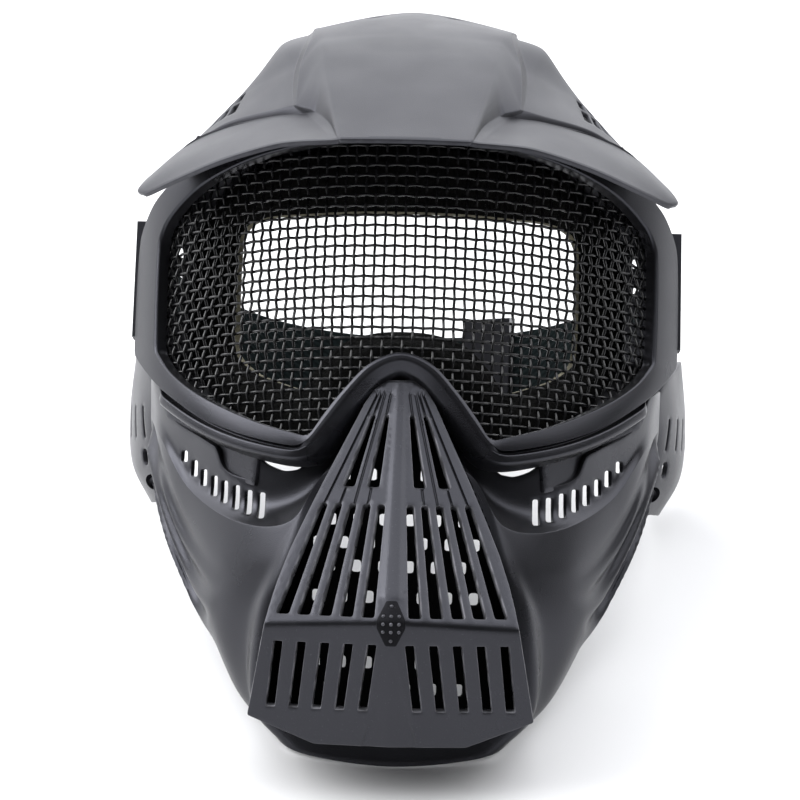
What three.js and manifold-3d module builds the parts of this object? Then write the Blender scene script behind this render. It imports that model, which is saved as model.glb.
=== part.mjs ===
// Full-face airsoft mask with a woven wire lens: a bent goggle rim with its foam, a visor that runs up
// into a forehead crown, a moulded face shell with a slotted snout, two ear guards and a head strap.
// Units are millimetres. The mask is drawn in its own frame, x to the right as it is looked at, y towards
// the back of the head and z up, with the origin on the front of the lens. It is then leaned back on to
// the floor, where the chin and the two ear guards carry it.
import * as THREE from "three";
import { mergeVertices } from "three/addons/utils/BufferGeometryUtils.js";
import Module from "manifold-3d";

const wasm = await Module();
wasm.setup();

// Driving dimensions
const LENS_RADIUS = 110; // bend of the goggle, seen from above
const LENS_LEAN = 10; // degrees that the top of the lens leans back
const REST_LEAN = 28.4; // degrees that the whole mask leans back where it rests
const WALL = 2.2; // moulded plastic
const GAP = 0.3; // between neighbouring pieces
const MESH_THICKNESS = 1.6;
const STRAP_WIDTH = 38;
const STRAP_THICKNESS = 1.8;
const MOUTH_HOLE = 5.4; // diameter of the vents in the shell behind the snout
const SNOUT_WALL = 3;

const BLACK_PLASTIC = { color: 0x2b2b2f, roughness: 0.5, metalness: 0 };
const BLACK_WIRE = { color: 0x1c1c1e, roughness: 0.45, metalness: 0.6 };
const FOAM = { color: 0x26251f, roughness: 0.95, metalness: 0 };
const ELASTIC = { color: 0x15201f, roughness: 0.85, metalness: 0 };

// Turns rows of numbers into records with named columns.
const table = (columns, rows) =>
  rows.map((row) => Object.fromEntries(columns.map((name, i) => [name, row[i]])));
const lerp = THREE.MathUtils.lerp;
const vector = (x, y, z) => new THREE.Vector3(x, y, z);

// Surfaces and solids

// A smooth curve through points, and the same curve read at even steps.
const curve = (points, closed = false) => new THREE.CatmullRomCurve3(points, closed, "catmullrom", 0.5);
const mirrored = (p) => vector(-p.x, p.y, p.z);
// Curves through rows of points, each row one section of a surface.
const sections = (columns, rows) =>
  table(columns, rows).map((row) => curve(Object.values(row).map(([x, y, z]) => vector(x, y, z))));

// Skins closed loops of equal length one after another. An open row of loops is capped by pairing each
// loop's points from its two ends.
function loft(loops, closed = false) {
  const count = loops[0].length;
  const index = [];
  const quad = (a, b, c, d) => index.push(a, b, c, a, c, d);
  const last = closed ? loops.length : loops.length - 1;
  for (let i = 0; i < last; i++) {
    const next = (i + 1) % loops.length;
    for (let j = 0; j < count; j++) {
      const k = (j + 1) % count;
      quad(i * count + j, next * count + j, next * count + k, i * count + k);
    }
  }
  if (!closed) {
    for (let j = 0; j + 1 < count - 1 - j; j++) {
      const far = count - 1 - j;
      const end = (loops.length - 1) * count;
      quad(j, j + 1, far - 1, far);
      quad(end + far, end + far - 1, end + j + 1, end + j);
    }
  }
  return outward(loops.flat(), index);
}

// A geometry whose faces all point out of the body.
function outward(points, index) {
  const volume = new THREE.Vector3();
  let sum = 0;
  for (let i = 0; i < index.length; i += 3) {
    const [a, b, c] = [points[index[i]], points[index[i + 1]], points[index[i + 2]]];
    sum += a.dot(volume.crossVectors(b, c));
  }
  if (sum < 0) for (let i = 0; i < index.length; i += 3) [index[i], index[i + 1]] = [index[i + 1], index[i]];
  const clean = index.filter((_, i) => {
    const t = i - (i % 3);
    return new Set([index[t], index[t + 1], index[t + 2]]).size === 3;
  });
  return new THREE.BufferGeometry().setFromPoints(points).setIndex(clean);
}

// The way out of the surface at(u, v), for u and v from 0 to 1.
function normalOn(at, u, v) {
  const step = 1e-3;
  const du = at(Math.min(u + step, 1), v).sub(at(Math.max(u - step, 0), v));
  const dv = at(u, Math.min(v + step, 1)).sub(at(u, Math.max(v - step, 0)));
  return dv.cross(du).normalize();
}

// A wall of even thickness behind such a surface.
function wall(at, across, along, thickness) {
  const inner = (u, v) => at(u, v).addScaledVector(normalOn(at, u, v), -thickness);
  const loops = [];
  for (let i = 0; i <= across; i++) {
    const front = [];
    const back = [];
    for (let j = 0; j <= along; j++) {
      front.push(at(i / across, j / along));
      back.unshift(inner(i / across, j / along));
    }
    loops.push([...front, ...back]);
  }
  return loft(loops);
}

function solid(geometry) {
  const bare = geometry.clone();
  bare.deleteAttribute("normal");
  bare.deleteAttribute("uv");
  const merged = mergeVertices(bare, 1e-3);
  return new wasm.Manifold(
    new wasm.Mesh({
      numProp: 3,
      vertProperties: merged.attributes.position.array,
      triVerts: new Uint32Array(merged.index.array),
    }),
  );
}

function geometryOf(body) {
  const mesh = body.getMesh();
  return new THREE.BufferGeometry()
    .setAttribute("position", new THREE.BufferAttribute(new Float32Array(mesh.vertProperties), 3))
    .setIndex(new THREE.BufferAttribute(new Uint32Array(mesh.triVerts), 1));
}

const cut = (geometry, cutters) =>
  geometryOf(cutters.reduce((body, cutter) => body.subtract(solid(cutter)), solid(geometry)));
const join = (geometries) => geometryOf(geometries.map(solid).reduce((a, b) => a.add(b)));

// A flat shape drawn in x and z, seen from the front, and pushed back along y from the sloping plane.
function frontPlate(outline, holes, plane, depth) {
  const shape = new THREE.Shape(outline.map(([x, z]) => new THREE.Vector2(x, z)));
  shape.holes = holes.map((hole) => new THREE.Path(hole.map(([x, z]) => new THREE.Vector2(x, z))));
  const drawn = new THREE.ExtrudeGeometry(shape, { depth, bevelEnabled: false, curveSegments: 4 });
  const bare = new THREE.BufferGeometry().setAttribute("position", drawn.getAttribute("position"));
  const merged = mergeVertices(bare);
  const position = merged.getAttribute("position");
  const points = [];
  for (let i = 0; i < position.count; i++) {
    const [x, z, back] = [position.getX(i), position.getY(i), position.getZ(i)];
    points.push(vector(x, plane(x, z) + back, z));
  }
  return outward(points, [...merged.index.array]);
}

// The outline of a tapering slot from its upper to its lower end, with round ends.
function slotOutline(top, bottom, topWidth, bottomWidth, sides = 3) {
  const [dx, dz] = [bottom[0] - top[0], bottom[1] - top[1]];
  const heading = Math.atan2(dz, dx);
  const points = [];
  const end = ([x, z], width, start) => {
    for (let i = 0; i <= sides; i++) {
      const a = start + (Math.PI * i) / sides;
      points.push([x + (width / 2) * Math.cos(a), z + (width / 2) * Math.sin(a)]);
    }
  };
  end(bottom, bottomWidth, heading - Math.PI / 2);
  end(top, topWidth, heading + Math.PI / 2);
  return points;
}
const flip = (outline) => outline.map(([x, z]) => [-x, z]).reverse();

function mesh(name, geometry, finish) {
  const made = new THREE.Mesh(geometry, new THREE.MeshStandardMaterial(finish));
  made.name = name;
  return made;
}

// Goggle: everything here is bent round one upright cylinder. s runs along the bend, z up it and n out.
const goggle = new THREE.Group();
goggle.rotation.x = -THREE.MathUtils.degToRad(LENS_LEAN);
function onGoggle(s, z, n) {
  const turn = s / LENS_RADIUS;
  const r = LENS_RADIUS + n;
  return vector(r * Math.sin(turn), LENS_RADIUS - r * Math.cos(turn), z);
}

// Half of the rim from the brow to the nose: the edge of the foam, of the lens opening and of the rim.
const RIM = table(
  ["foamS", "foamZ", "innerS", "innerZ", "outerS", "outerZ"],
  [
    [0, 25.5, 0, 45, 0, 57],
    [30, 25.5, 30, 44, 31, 56],
    [55, 24, 56, 41, 59, 52.5],
    [76, 20.5, 80, 35, 86, 45],
    [91, 14, 96.5, 27.5, 107, 35.5],
    [97, 6, 102, 20, 115.5, 25],
    [98, -7, 102.5, 0, 116, 0],
    [96.5, -22, 102, -19, 115.5, -25],
    [91, -30, 97, -26, 110, -37],
    [75, -37, 78, -36.5, 85, -49.5],
    [55, -43, 54, -47.5, 60, -59.5],
    [40, -46.5, 35, -55, 41, -66],
    [35, -46, 28.5, -56, 32.5, -68],
    [30, -40, 25, -50.5, 22, -60],
    [23, -32, 19, -41, 13, -49],
    [13, -24.5, 11, -31, 6.5, -42],
    [0, -21, 0, -26, 0, -39],
  ],
);
const HALF_STEPS = 29;

// Stations all the way round the rim, each with its foam, inner and outer point in s and z.
function rimStations() {
  const edge = (s, z) => curve(RIM.map((row) => vector(row[s], row[z], 0)));
  const lines = {
    foam: edge("foamS", "foamZ"),
    inner: edge("innerS", "innerZ"),
    outer: edge("outerS", "outerZ"),
  };
  const half = [];
  for (let i = 0; i <= HALF_STEPS; i++) {
    const t = lines.outer.getUtoTmapping(i / HALF_STEPS);
    half.push({
      foam: lines.foam.getPoint(t),
      inner: lines.inner.getPoint(t),
      outer: lines.outer.getPoint(t),
    });
  }
  const turned = ({ foam, inner, outer }) => ({
    foam: mirrored(foam),
    inner: mirrored(inner),
    outer: mirrored(outer),
  });
  return [...half, ...half.slice(1, -1).reverse().map(turned)];
}
const stations = rimStations();
const across = (station, share) => station.inner.clone().lerp(station.outer, share);

// Sweeps a section round the rim. Each section point has its share of the way across the rim and its n.
const rimSweep = (section) =>
  loft(
    stations.map((station) =>
      section.map(({ share, n }) => {
        const p = across(station, share);
        return onGoggle(p.x, p.y, n);
      }),
    ),
    true,
  );

const RIM_SECTION = table(
  ["share", "n"],
  [
    [0, -1],
    [0, 2.2],
    [0.12, 3.6],
    [0.45, 4],
    [0.5, 2.8],
    [0.58, 2.8],
    [0.63, 3.8],
    [0.94, 3.2],
    [1, 1.8],
    [1, -1],
    [0.86, -1],
    [0.86, -20],
    [0.7, -20],
    [0.7, -1],
  ],
);
const rimRing = rimSweep(RIM_SECTION);

// The lens is a bent sheet that reaches a little way behind the rim.
const LENS_COLUMNS = 40;
function lens() {
  const share = 0.35;
  const edge = stations.slice(0, HALF_STEPS + 1).map((station) => across(station, share));
  const widest = edge.reduce((best, p, i) => (p.x > edge[best].x ? i : best), 0);
  const heightOf = (line, s) => {
    const i = Math.max(1, line.findIndex((p) => p.x >= s - 1e-9));
    const [a, b] = [line[i - 1], line[i]];
    return lerp(a.y, b.y, THREE.MathUtils.clamp((s - a.x) / (b.x - a.x || 1), 0, 1));
  };
  const top = edge.slice(0, widest + 1);
  const bottom = [];
  for (const p of edge.slice(widest).reverse()) if (!bottom.length || p.x > bottom.at(-1).x) bottom.push(p);
  const back = -1 - 2 * GAP;
  const loops = [];
  for (let i = 0; i <= LENS_COLUMNS; i++) {
    const s = lerp(-1, 1, i / LENS_COLUMNS) * (edge[widest].x - 0.5);
    const [high, low] = [heightOf(top, Math.abs(s)), heightOf(bottom, Math.abs(s))];
    loops.push([
      onGoggle(s, high, back),
      onGoggle(s, low, back),
      onGoggle(s, low, back - MESH_THICKNESS),
      onGoggle(s, high, back - MESH_THICKNESS),
    ]);
  }
  return loft(loops);
}
goggle.add(mesh("mesh_lens", lens(), BLACK_WIRE));

// Foam cushion behind the rim's skirt, deep over the brow and cut away for the nose.
const FOAM_SECTION = table(
  ["share", "n"],
  [
    [0, -24],
    [0.15, -20.3],
    [0.9, -20.3],
    [1, -24],
    [0.9, -31],
    [0.1, -32],
  ],
);
const foamRing = stations.map((station) =>
  FOAM_SECTION.map(({ share, n }) => {
    const p = station.foam.clone().lerp(across(station, 0.9), share);
    return onGoggle(p.x, p.y, n);
  }),
);
goggle.add(mesh("face_foam", loft(foamRing, true), FOAM));

// Strap anchors at the sides of the rim: a flat block, and behind its slot a thinner bar that the strap
// is sewn round.
const ANCHOR = {
  front: 56.8,
  slotFront: 64,
  slotBack: 69,
  back: 73,
  low: -13,
  high: 31,
  inside: 95.5,
  outside: 101.5,
};
const ANCHOR_ARM = 2.2;
const BAR_OUTSIDE = ANCHOR.inside + 3;
function strapAnchor(side) {
  const { front, slotFront, slotBack, back, low, high, inside, outside } = ANCHOR;
  const shape = new THREE.Shape();
  shape.moveTo(front, low).lineTo(back, low).lineTo(back, high).lineTo(front, high).closePath();
  const slot = new THREE.Path();
  slot.moveTo(slotFront, low + ANCHOR_ARM).lineTo(slotFront, high - ANCHOR_ARM);
  slot.lineTo(slotBack, high - ANCHOR_ARM).lineTo(slotBack, low + ANCHOR_ARM).closePath();
  shape.holes = [slot];
  const drawn = new THREE.ExtrudeGeometry(shape, { depth: outside - inside, bevelEnabled: false });
  drawn.rotateX(Math.PI / 2).rotateZ(Math.PI / 2); // shape x becomes y, shape y becomes z, depth becomes x
  drawn.translate(inside, 0, 0);
  const relief = new THREE.BoxGeometry(outside, back, 3 * high);
  relief.translate(BAR_OUTSIDE + outside / 2, slotFront - 0.5 + back / 2, 0);
  const made = cut(drawn, [relief]);
  if (side < 0) made.scale(-1, 1, 1);
  return side < 0 ? turnedFaces(made) : made;
}
function turnedFaces(geometry) {
  const index = geometry.index.array;
  for (let i = 0; i < index.length; i += 3) [index[i], index[i + 1]] = [index[i + 1], index[i]];
  return geometry;
}

for (const [side, name] of [
  [-1, "strap_anchor_left"],
  [1, "strap_anchor_right"],
]) {
  goggle.add(mesh(name, strapAnchor(side), BLACK_PLASTIC));
}

const mask = new THREE.Group();
mask.add(goggle);
goggle.updateMatrix();

// A tab under each eye hooks the rim into a step in the face shell, drawn from the front of the mask.
const TAB = [
  [49.6, -59.2],
  [50.6, -66],
  [53.4, -73.2],
  [63.6, -69.4],
  [65.4, -59.2],
];
const TAB_PLANE = (x) => 9 + 0.75 * (Math.abs(x) - 57);
const leanBack = new THREE.Matrix4().copy(goggle.matrix).invert();
const tabs = [TAB, flip(TAB)].map((outline) =>
  frontPlate(outline, [], TAB_PLANE, WALL).applyMatrix4(leanBack),
);
goggle.add(mesh("goggle_rim", join([rimRing, ...tabs]), BLACK_PLASTIC));

// Face shell: sections from the middle of the face round to the ear. Each runs from the upper edge over
// the floor and the lip of the cheek hollow, then the cheek and the snout's ridge, down to the jaw.
const SHELL = sections(
  ["edge", "floor", "lip", "cheek", "ridge", "low", "jaw"],
  [
    [
      [0, -2, -41], [0, -9, -57], [0, -15, -68], [0, -33, -98],
      [0, -45, -119], [0, -36, -150], [0, -14, -170],
    ],
    [
      [8.5, -3, -47], [15.5, -10, -60], [20, -18, -69], [32, -35.5, -98],
      [40.5, -45, -118.5], [46.5, -31, -150], [31, -10, -166.5],
    ],
    [
      [31, -1.5, -72], [32.5, -2, -79], [34.5, -7, -85.5], [44, -13.5, -101],
      [51, -16.5, -122], [50, -9, -149], [42, -2, -161],
    ],
    [
      [57, 9, -65], [55.5, 9, -81], [54, 5, -88], [61, 7, -103],
      [64.5, 11, -122], [57.5, 13, -144], [53, 15, -151],
    ],
    [
      [79, 31, -55.5], [76.5, 31, -68], [76, 28, -73], [77.5, 31.5, -92],
      [74, 33, -112], [69, 34, -126], [66, 35, -131],
    ],
    [
      [90.5, 49, -48], [88.5, 46, -53.5], [89.5, 46, -57], [89, 49, -76],
      [84.5, 48, -95], [79, 46, -108], [76, 45, -114],
    ],
    [
      [95.5, 66, -43], [95.5, 68, -48], [95.5, 69, -53], [93.5, 70, -68],
      [89, 67, -85], [85, 63, -96], [82, 60, -101],
    ],
  ],
);

// Swept folds in the cheek: where each crest lies between the upper edge and the jaw, at the ear and at
// its front end.
const FOLDS = table(
  ["rear", "front", "end", "height"],
  [
    [0.97, 0.93, 0.5, 1.6],
    [0.82, 0.8, 0.55, 1.4],
    [0.68, 0.64, 0.6, 1.2],
  ],
);
const FOLD_WIDTH = 0.055;
function folds(u, v) {
  const round = Math.abs(2 * u - 1);
  return FOLDS.reduce((sum, { rear, front, end, height }) => {
    const along = THREE.MathUtils.smoothstep(round, end, 0.85);
    const crest = lerp(front, rear, along);
    return sum + height * along * Math.exp(-(((v - crest) / FOLD_WIDTH) ** 2));
  }, 0);
}

// The shell at u from the left ear to the right one, and v from the upper edge to the jaw.
function smoothShell(u, v) {
  const half = SHELL.map((section) => section.getPoint(v));
  return curve([...half.slice(1).reverse().map(mirrored), ...half]).getPoint(u);
}
const onShell = (u, v) => smoothShell(u, v).addScaledVector(normalOn(smoothShell, u, v), folds(u, v));
const SHELL_STEPS = { across: 30, along: 12 };

// Round vents in the shell behind the snout, in staggered rows.
const MOUTH_ROWS = table(
  ["z", "count"],
  [
    [-83, 2],
    [-92, 3],
    [-101, 4],
    [-110, 5],
    [-124, 4],
    [-133, 5],
    [-142, 4],
  ],
);
const MOUTH_PITCH = 9;
function mouthVents() {
  const vents = [];
  for (const { z, count } of MOUTH_ROWS) {
    for (let i = 0; i < count; i++) {
      const x = (i - (count - 1) / 2) * MOUTH_PITCH;
      const vent = new THREE.CylinderGeometry(MOUTH_HOLE / 2, MOUTH_HOLE / 2, 30, 6);
      vents.push(vent.translate(x, -35, z));
    }
  }
  return vents;
}

// Slots along the floor of the cheek hollow, from the ear to the nose, cut straight back from the front.
const CHEEK_SLOTS = table(
  ["x", "top", "bottom"],
  [
    [78.5, -63.5, -67],
    [74.8, -66.7, -72.5],
    [70.6, -69.8, -76],
    [66.3, -71.8, -79],
    [62, -73.4, -81.2],
    [57.5, -75, -83],
    [53, -76.5, -84.6],
    [48.6, -77, -85.4],
  ],
);
const CHEEK_SLOT_WIDTH = 1.6;
// The step in the shell's upper edge that leaves room for a tab of the rim.
const NOTCH = [
  [66.5, -56],
  [64, -70],
  [53, -74],
  [50, -66],
  [48.6, -58],
];
const FROM_FRONT = () => -30;
const THROUGH = 120;
function cheekCuts() {
  const drawn = CHEEK_SLOTS.map(({ x, top, bottom }) =>
    slotOutline([x, top], [x, bottom], CHEEK_SLOT_WIDTH, CHEEK_SLOT_WIDTH, 2),
  );
  drawn.push([...NOTCH].reverse());
  return drawn.flatMap((outline) => [
    frontPlate(outline, [], FROM_FRONT, THROUGH),
    frontPlate(flip(outline), [], FROM_FRONT, THROUGH),
  ]);
}

// Ear guards: a flange inside the shell's rear edge, then a bulge that stands out beyond it.
const FLANGE = { from: 0.945, to: 0.99, top: 0.42, bottom: 0.8, set: WALL + 3 * GAP, root: 6 };
const GUARD = sections(
  ["top", "upper", "lower", "bottom"],
  [
    [[96.5, 80, -38], [98.5, 83, -56], [97, 83, -74], [92, 80, -90]],
    [[106.5, 92, -29], [109.5, 95, -54], [108.5, 95, -75], [100, 92, -91]],
    [[107.5, 118, -26], [110, 120, -52], [108.5, 120, -75], [100, 118, -91.5]],
    [[101, 143, -38], [105, 147, -55], [104, 147, -71], [98, 143, -85]],
  ],
);
const GUARD_WALL = 2;
const GUARD_STEPS = { across: 12, along: 6 };
function onGuard(u, v) {
  const flange = [FLANGE.from, FLANGE.to].map((at) => {
    const down = lerp(FLANGE.top, FLANGE.bottom, v);
    return onShell(at, down).addScaledVector(normalOn(onShell, at, down), -FLANGE.set);
  });
  const root = flange[1].clone().add(vector(0, FLANGE.root, 0));
  return curve([...flange, root, ...GUARD.map((section) => section.getPoint(v))]).getPoint(u);
}

// Slanted louvres and one hole through the bulge, drawn from the side in y and z.
const LOUVRES = { count: 5, y: 86, pitch: 9, rise: 6, z: -52, length: 20, width: 3.4 };
const GUARD_HOLE = { y: 92, z: -78, wide: 7, high: 10 };
function guardCuts() {
  const outlines = [];
  for (let i = 0; i < LOUVRES.count; i++) {
    const y = LOUVRES.y + i * LOUVRES.pitch;
    const top = [y + LOUVRES.rise, LOUVRES.z + LOUVRES.length / 2];
    const bottom = [y, LOUVRES.z - LOUVRES.length / 2];
    outlines.push(slotOutline(top, bottom, LOUVRES.width, LOUVRES.width, 2));
  }
  const { y, z, wide, high } = GUARD_HOLE;
  outlines.push(slotOutline([y, z + (high - wide) / 2], [y, z - (high - wide) / 2], wide, wide, 3));
  return outlines.map((outline) => sidePlate(outline, [], ANCHOR.inside - 10, ANCHOR.inside + 30));
}

// A flat shape drawn in y and z, pushed out along x.
function sidePlate(outline, holes, from, to) {
  const turned = frontPlate(outline, holes, () => from, to - from);
  const position = turned.getAttribute("position");
  const points = [];
  for (let i = 0; i < position.count; i++) {
    points.push(vector(position.getY(i), position.getX(i), position.getZ(i)));
  }
  return outward(points, [...turned.index.array]);
}

// A rivet through the shell and the guard's flange on each side: a shank between two low heads.
const RIVET = { u: 0.968, v: 0.55, shank: 1.8, head: 3.6, rise: 1.2, sides: 8 };
function rivetParts() {
  const at = onShell(RIVET.u, RIVET.v);
  const out = normalOn(onShell, RIVET.u, RIVET.v);
  const turn = new THREE.Quaternion().setFromUnitVectors(vector(0, 1, 0), out);
  const place = (geometry) => geometry.applyQuaternion(turn).translate(at.x, at.y, at.z);
  const inner = -(FLANGE.set + GUARD_WALL + GAP);
  const profile = [
    [0, inner - RIVET.rise],
    [RIVET.head * 0.75, inner - RIVET.rise],
    [RIVET.head, inner - 0.2],
    [RIVET.shank, inner - 0.2],
    [RIVET.shank, GAP + 0.2],
    [RIVET.head, GAP + 0.2],
    [RIVET.head * 0.75, GAP + RIVET.rise],
    [0, GAP + RIVET.rise],
  ].map(([r, h]) => new THREE.Vector2(r, h));
  const hole = new THREE.CylinderGeometry(RIVET.shank + GAP, RIVET.shank + GAP, 24, RIVET.sides);
  return { rivet: place(new THREE.LatheGeometry(profile, RIVET.sides)), hole: place(hole) };
}
const mirror = (geometry) => turnedFaces(mergeVertices(geometry.clone(), 1e-4).scale(-1, 1, 1));
const { rivet, hole: rivetHole } = rivetParts();

const shellWall = wall(onShell, SHELL_STEPS.across, SHELL_STEPS.along, WALL);
const shellCuts = [...mouthVents(), ...cheekCuts(), rivetHole, mirror(rivetHole)];
mask.add(mesh("face_shell", cut(shellWall, shellCuts), BLACK_PLASTIC));

const guardWall = wall(onGuard, GUARD_STEPS.across, GUARD_STEPS.along, GUARD_WALL);
const guard = cut(guardWall, [...guardCuts(), rivetHole]);
mask.add(mesh("ear_guard_left", mirror(guard), BLACK_PLASTIC));
mask.add(mesh("ear_guard_right", guard, BLACK_PLASTIC));
mask.add(mesh("ear_rivet_left", mirror(rivet), BLACK_PLASTIC));
mask.add(mesh("ear_rivet_right", rivet, BLACK_PLASTIC));

// Snout: two flat panels a side above and below the ridge, drawn from the front.
const UPPER_PLANE = (x, z) => 18.5 + 0.254 * Math.abs(x) + 0.682 * z;
const LOWER_PLANE = (x, z) => -104.3 + 0.192 * Math.abs(x) - 0.3855 * z;
const RIDGE = (x) => -115.04 - 0.058 * x;
const UPPER_EDGE = [
  [5.5, -43],
  [11, -50.5],
  [15.5, -58.5],
  [19.6, -67.3],
  [25.7, -79.8],
  [31.6, -94.6],
  [36, -104.4],
  [39.8, -112.4],
];
const RIDGE_CORNER = [41.4, RIDGE(41.4)];
const LOWER_EDGE = [
  [48, -150.3],
  [25.5, -159.2],
];
const LOWER_MIDDLE = [0, -159.2];
const SLOTS = table(
  ["count", "topX", "topStep", "topZ", "bottomX", "bottomStep", "bottomZ", "topWidth", "bottomWidth"],
  [
    [2, 3.9, 5.1, -49.5, 7, 9, -70.5, 2, 4.2],
    [5, 4.5, 4.75, -78, 6.8, 7.2, -111.3, 2.2, 3.6],
    [5, 5.6, 7.8, -121.4, 9.1, 7.75, -145.3, 3, 3],
  ],
);
function snout() {
  const slots = SLOTS.map((row) => {
    const holes = [];
    for (let i = 0; i < row.count; i++) {
      const top = [row.topX + i * row.topStep, row.topZ];
      const bottom = [row.bottomX + i * row.bottomStep, row.bottomZ];
      holes.push(slotOutline(top, bottom, row.topWidth, row.bottomWidth));
    }
    return holes;
  });
  const upper = [[0, -43], ...UPPER_EDGE, RIDGE_CORNER, [0, RIDGE(0)]];
  const lower = [[0, RIDGE(0)], RIDGE_CORNER, ...LOWER_EDGE, LOWER_MIDDLE];
  const panels = [
    [upper, [...slots[0], ...slots[1]], UPPER_PLANE],
    [lower, slots[2], LOWER_PLANE],
  ];
  return join(
    panels.flatMap(([outline, holes, plane]) => [
      frontPlate(outline, holes, plane, SNOUT_WALL),
      frontPlate(flip(outline), holes.map(flip), plane, SNOUT_WALL),
    ]),
  );
}
mask.add(mesh("snout_grille", snout(), BLACK_PLASTIC));

// Visor and crown: sections from the brim's front edge back to the rear of the crown, each from the middle
// out over the edge of the hump, its foot, the quarter, the side and the tip.
const VISOR = sections(
  ["middle", "hump", "foot", "quarter", "side", "tip"],
  [
    [[0, -38, 43.3], [22, -36, 43], [35.5, -31, 42.7], [56.7, -18, 39.8], [79, -1, 32], [95, 14, 27]],
    [[0, -20, 57], [25, -18.5, 56], [37.5, -15, 51], [56, -3, 48], [78, 13, 40.5], [95.3, 20, 29.5]],
    [[0, 0, 71], [28, 1, 70], [40.5, 3, 58.5], [57, 16, 55.5], [75, 32, 50], [90.5, 28, 35]],
    [[0, 6, 75], [28.7, 6.5, 74], [40.8, 7, 58], [58, 21, 53.5], [75, 38, 47.5], [88, 38, 38]],
    [[0, 26, 89], [31.8, 26, 87.5], [40.5, 27, 76.5], [49.5, 33, 71], [66.5, 45, 58], [83, 54, 42]],
    [[0, 52, 98], [35, 52, 93.5], [42, 53, 89.5], [48.7, 55, 84.5], [63.3, 61, 67], [81, 70, 44]],
    [[0, 84, 102], [35.5, 84, 97.5], [43, 84, 93.5], [49.5, 86, 88], [64, 90, 70], [80, 95, 46]],
  ],
);
function onVisor(u, v) {
  const share = Math.abs(2 * u - 1);
  const p = curve(VISOR.map((section) => section.getPoint(share))).getPoint(1 - v);
  return u < 0.5 ? mirrored(p) : p;
}
const VISOR_STEPS = { across: 26, along: 12 };

// Vents in the crown: two at the top near the rear edge, and a ladder of windows low on each side.
const TOP_VENT = { x: 15, y: 72, radius: 3 };
const LADDER = { fromU: 0.84, acrossU: 0.05, fromV: 0.3, alongV: 0.07, columns: 2, rows: 2, size: 4.4 };
function crownCuts() {
  const cuts = [-1, 1].map((side) => {
    const vent = new THREE.CylinderGeometry(TOP_VENT.radius, TOP_VENT.radius, 30, 8);
    return vent.rotateX(Math.PI / 2).translate(side * TOP_VENT.x, TOP_VENT.y, 100);
  });
  for (let i = 0; i < LADDER.columns; i++) {
    for (let j = 0; j < LADDER.rows; j++) {
      const [u, v] = [LADDER.fromU + i * LADDER.acrossU, LADDER.fromV - j * LADDER.alongV];
      const at = onVisor(u, v);
      const window = new THREE.BoxGeometry(LADDER.size, LADDER.size, 10);
      const turn = new THREE.Quaternion().setFromUnitVectors(vector(0, 0, 1), normalOn(onVisor, u, v));
      window.applyQuaternion(turn).translate(at.x, at.y, at.z);
      cuts.push(window, mirror(window));
    }
  }
  return cuts;
}
// A lug under each side of the visor stands on the top of the rim.
const LUG = [
  [55, 50.4],
  [62, 48.4],
  [62, 52.2],
  [55, 53.2],
];
const LUG_FRONT = () => 21;
const lugs = [LUG, flip(LUG)].map((outline) => frontPlate(outline, [], LUG_FRONT, 7));
const visorWall = wall(onVisor, VISOR_STEPS.across, VISOR_STEPS.along, WALL);
mask.add(mesh("visor_crown", join([cut(visorWall, crownCuts()), ...lugs]), BLACK_PLASTIC));

// Head strap: folded round the anchor's bar on one side, then round the back of the head to the other. The
// lean of its width eases from the goggle's to none.
const STRAP_PATH = table(
  ["x", "y", "z", "lean"],
  [
    [93.9, 84, -5.7, 10],
    [93.9, 75, -4.1, 10],
    [94.1, 69.8, -3.2, 10],
    [97, 66.8, -2.7, 10],
    [100, 69.8, -3.2, 10],
    [100.4, 76, -4.2, 10],
    [102.3, 90, -6, 8],
    [100, 112, -12, 5],
    [93, 136, -18, 2],
    [80, 160, -24, 1],
    [58, 181, -28.5, 0],
    [30, 193, -31.2, 0],
    [0, 197, -32.2, 0],
  ],
);
const STRAP_STEPS = 64;
function strapPath() {
  const half = STRAP_PATH.map(({ x, y, z }) => vector(x, y, z));
  const leans = STRAP_PATH.map(({ lean }) => vector(lean, 0, 0));
  const both = (list, turn) => [...list, ...list.slice(0, -1).reverse().map(turn)];
  return { path: curve(both(half, mirrored)), leans: curve(both(leans, (p) => p)) };
}
const { path: strapCurve, leans: strapLeans } = strapPath();
// The middle of the strap, the way its width runs and the way out of its face, a share of the way along it.
function onStrap(share) {
  const at = strapCurve.getPoint(share);
  const along = strapCurve.getTangent(share);
  const lean = THREE.MathUtils.degToRad(strapLeans.getPoint(share).x);
  const up = vector(0, Math.sin(lean), Math.cos(lean));
  return { at, along, up, out: along.clone().cross(up).normalize() };
}
function strap() {
  const loops = [];
  for (let i = 0; i <= STRAP_STEPS; i++) {
    const { at, up, out } = onStrap(i / STRAP_STEPS);
    const corner = (side, high) => {
      const face = at.clone().addScaledVector(out, (side * STRAP_THICKNESS) / 2);
      return face.addScaledVector(up, (high * STRAP_WIDTH) / 2);
    };
    loops.push([corner(1, 1), corner(1, -1), corner(-1, -1), corner(-1, 1)]);
  }
  return loft(loops);
}
mask.add(mesh("head_strap", strap(), ELASTIC));

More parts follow.
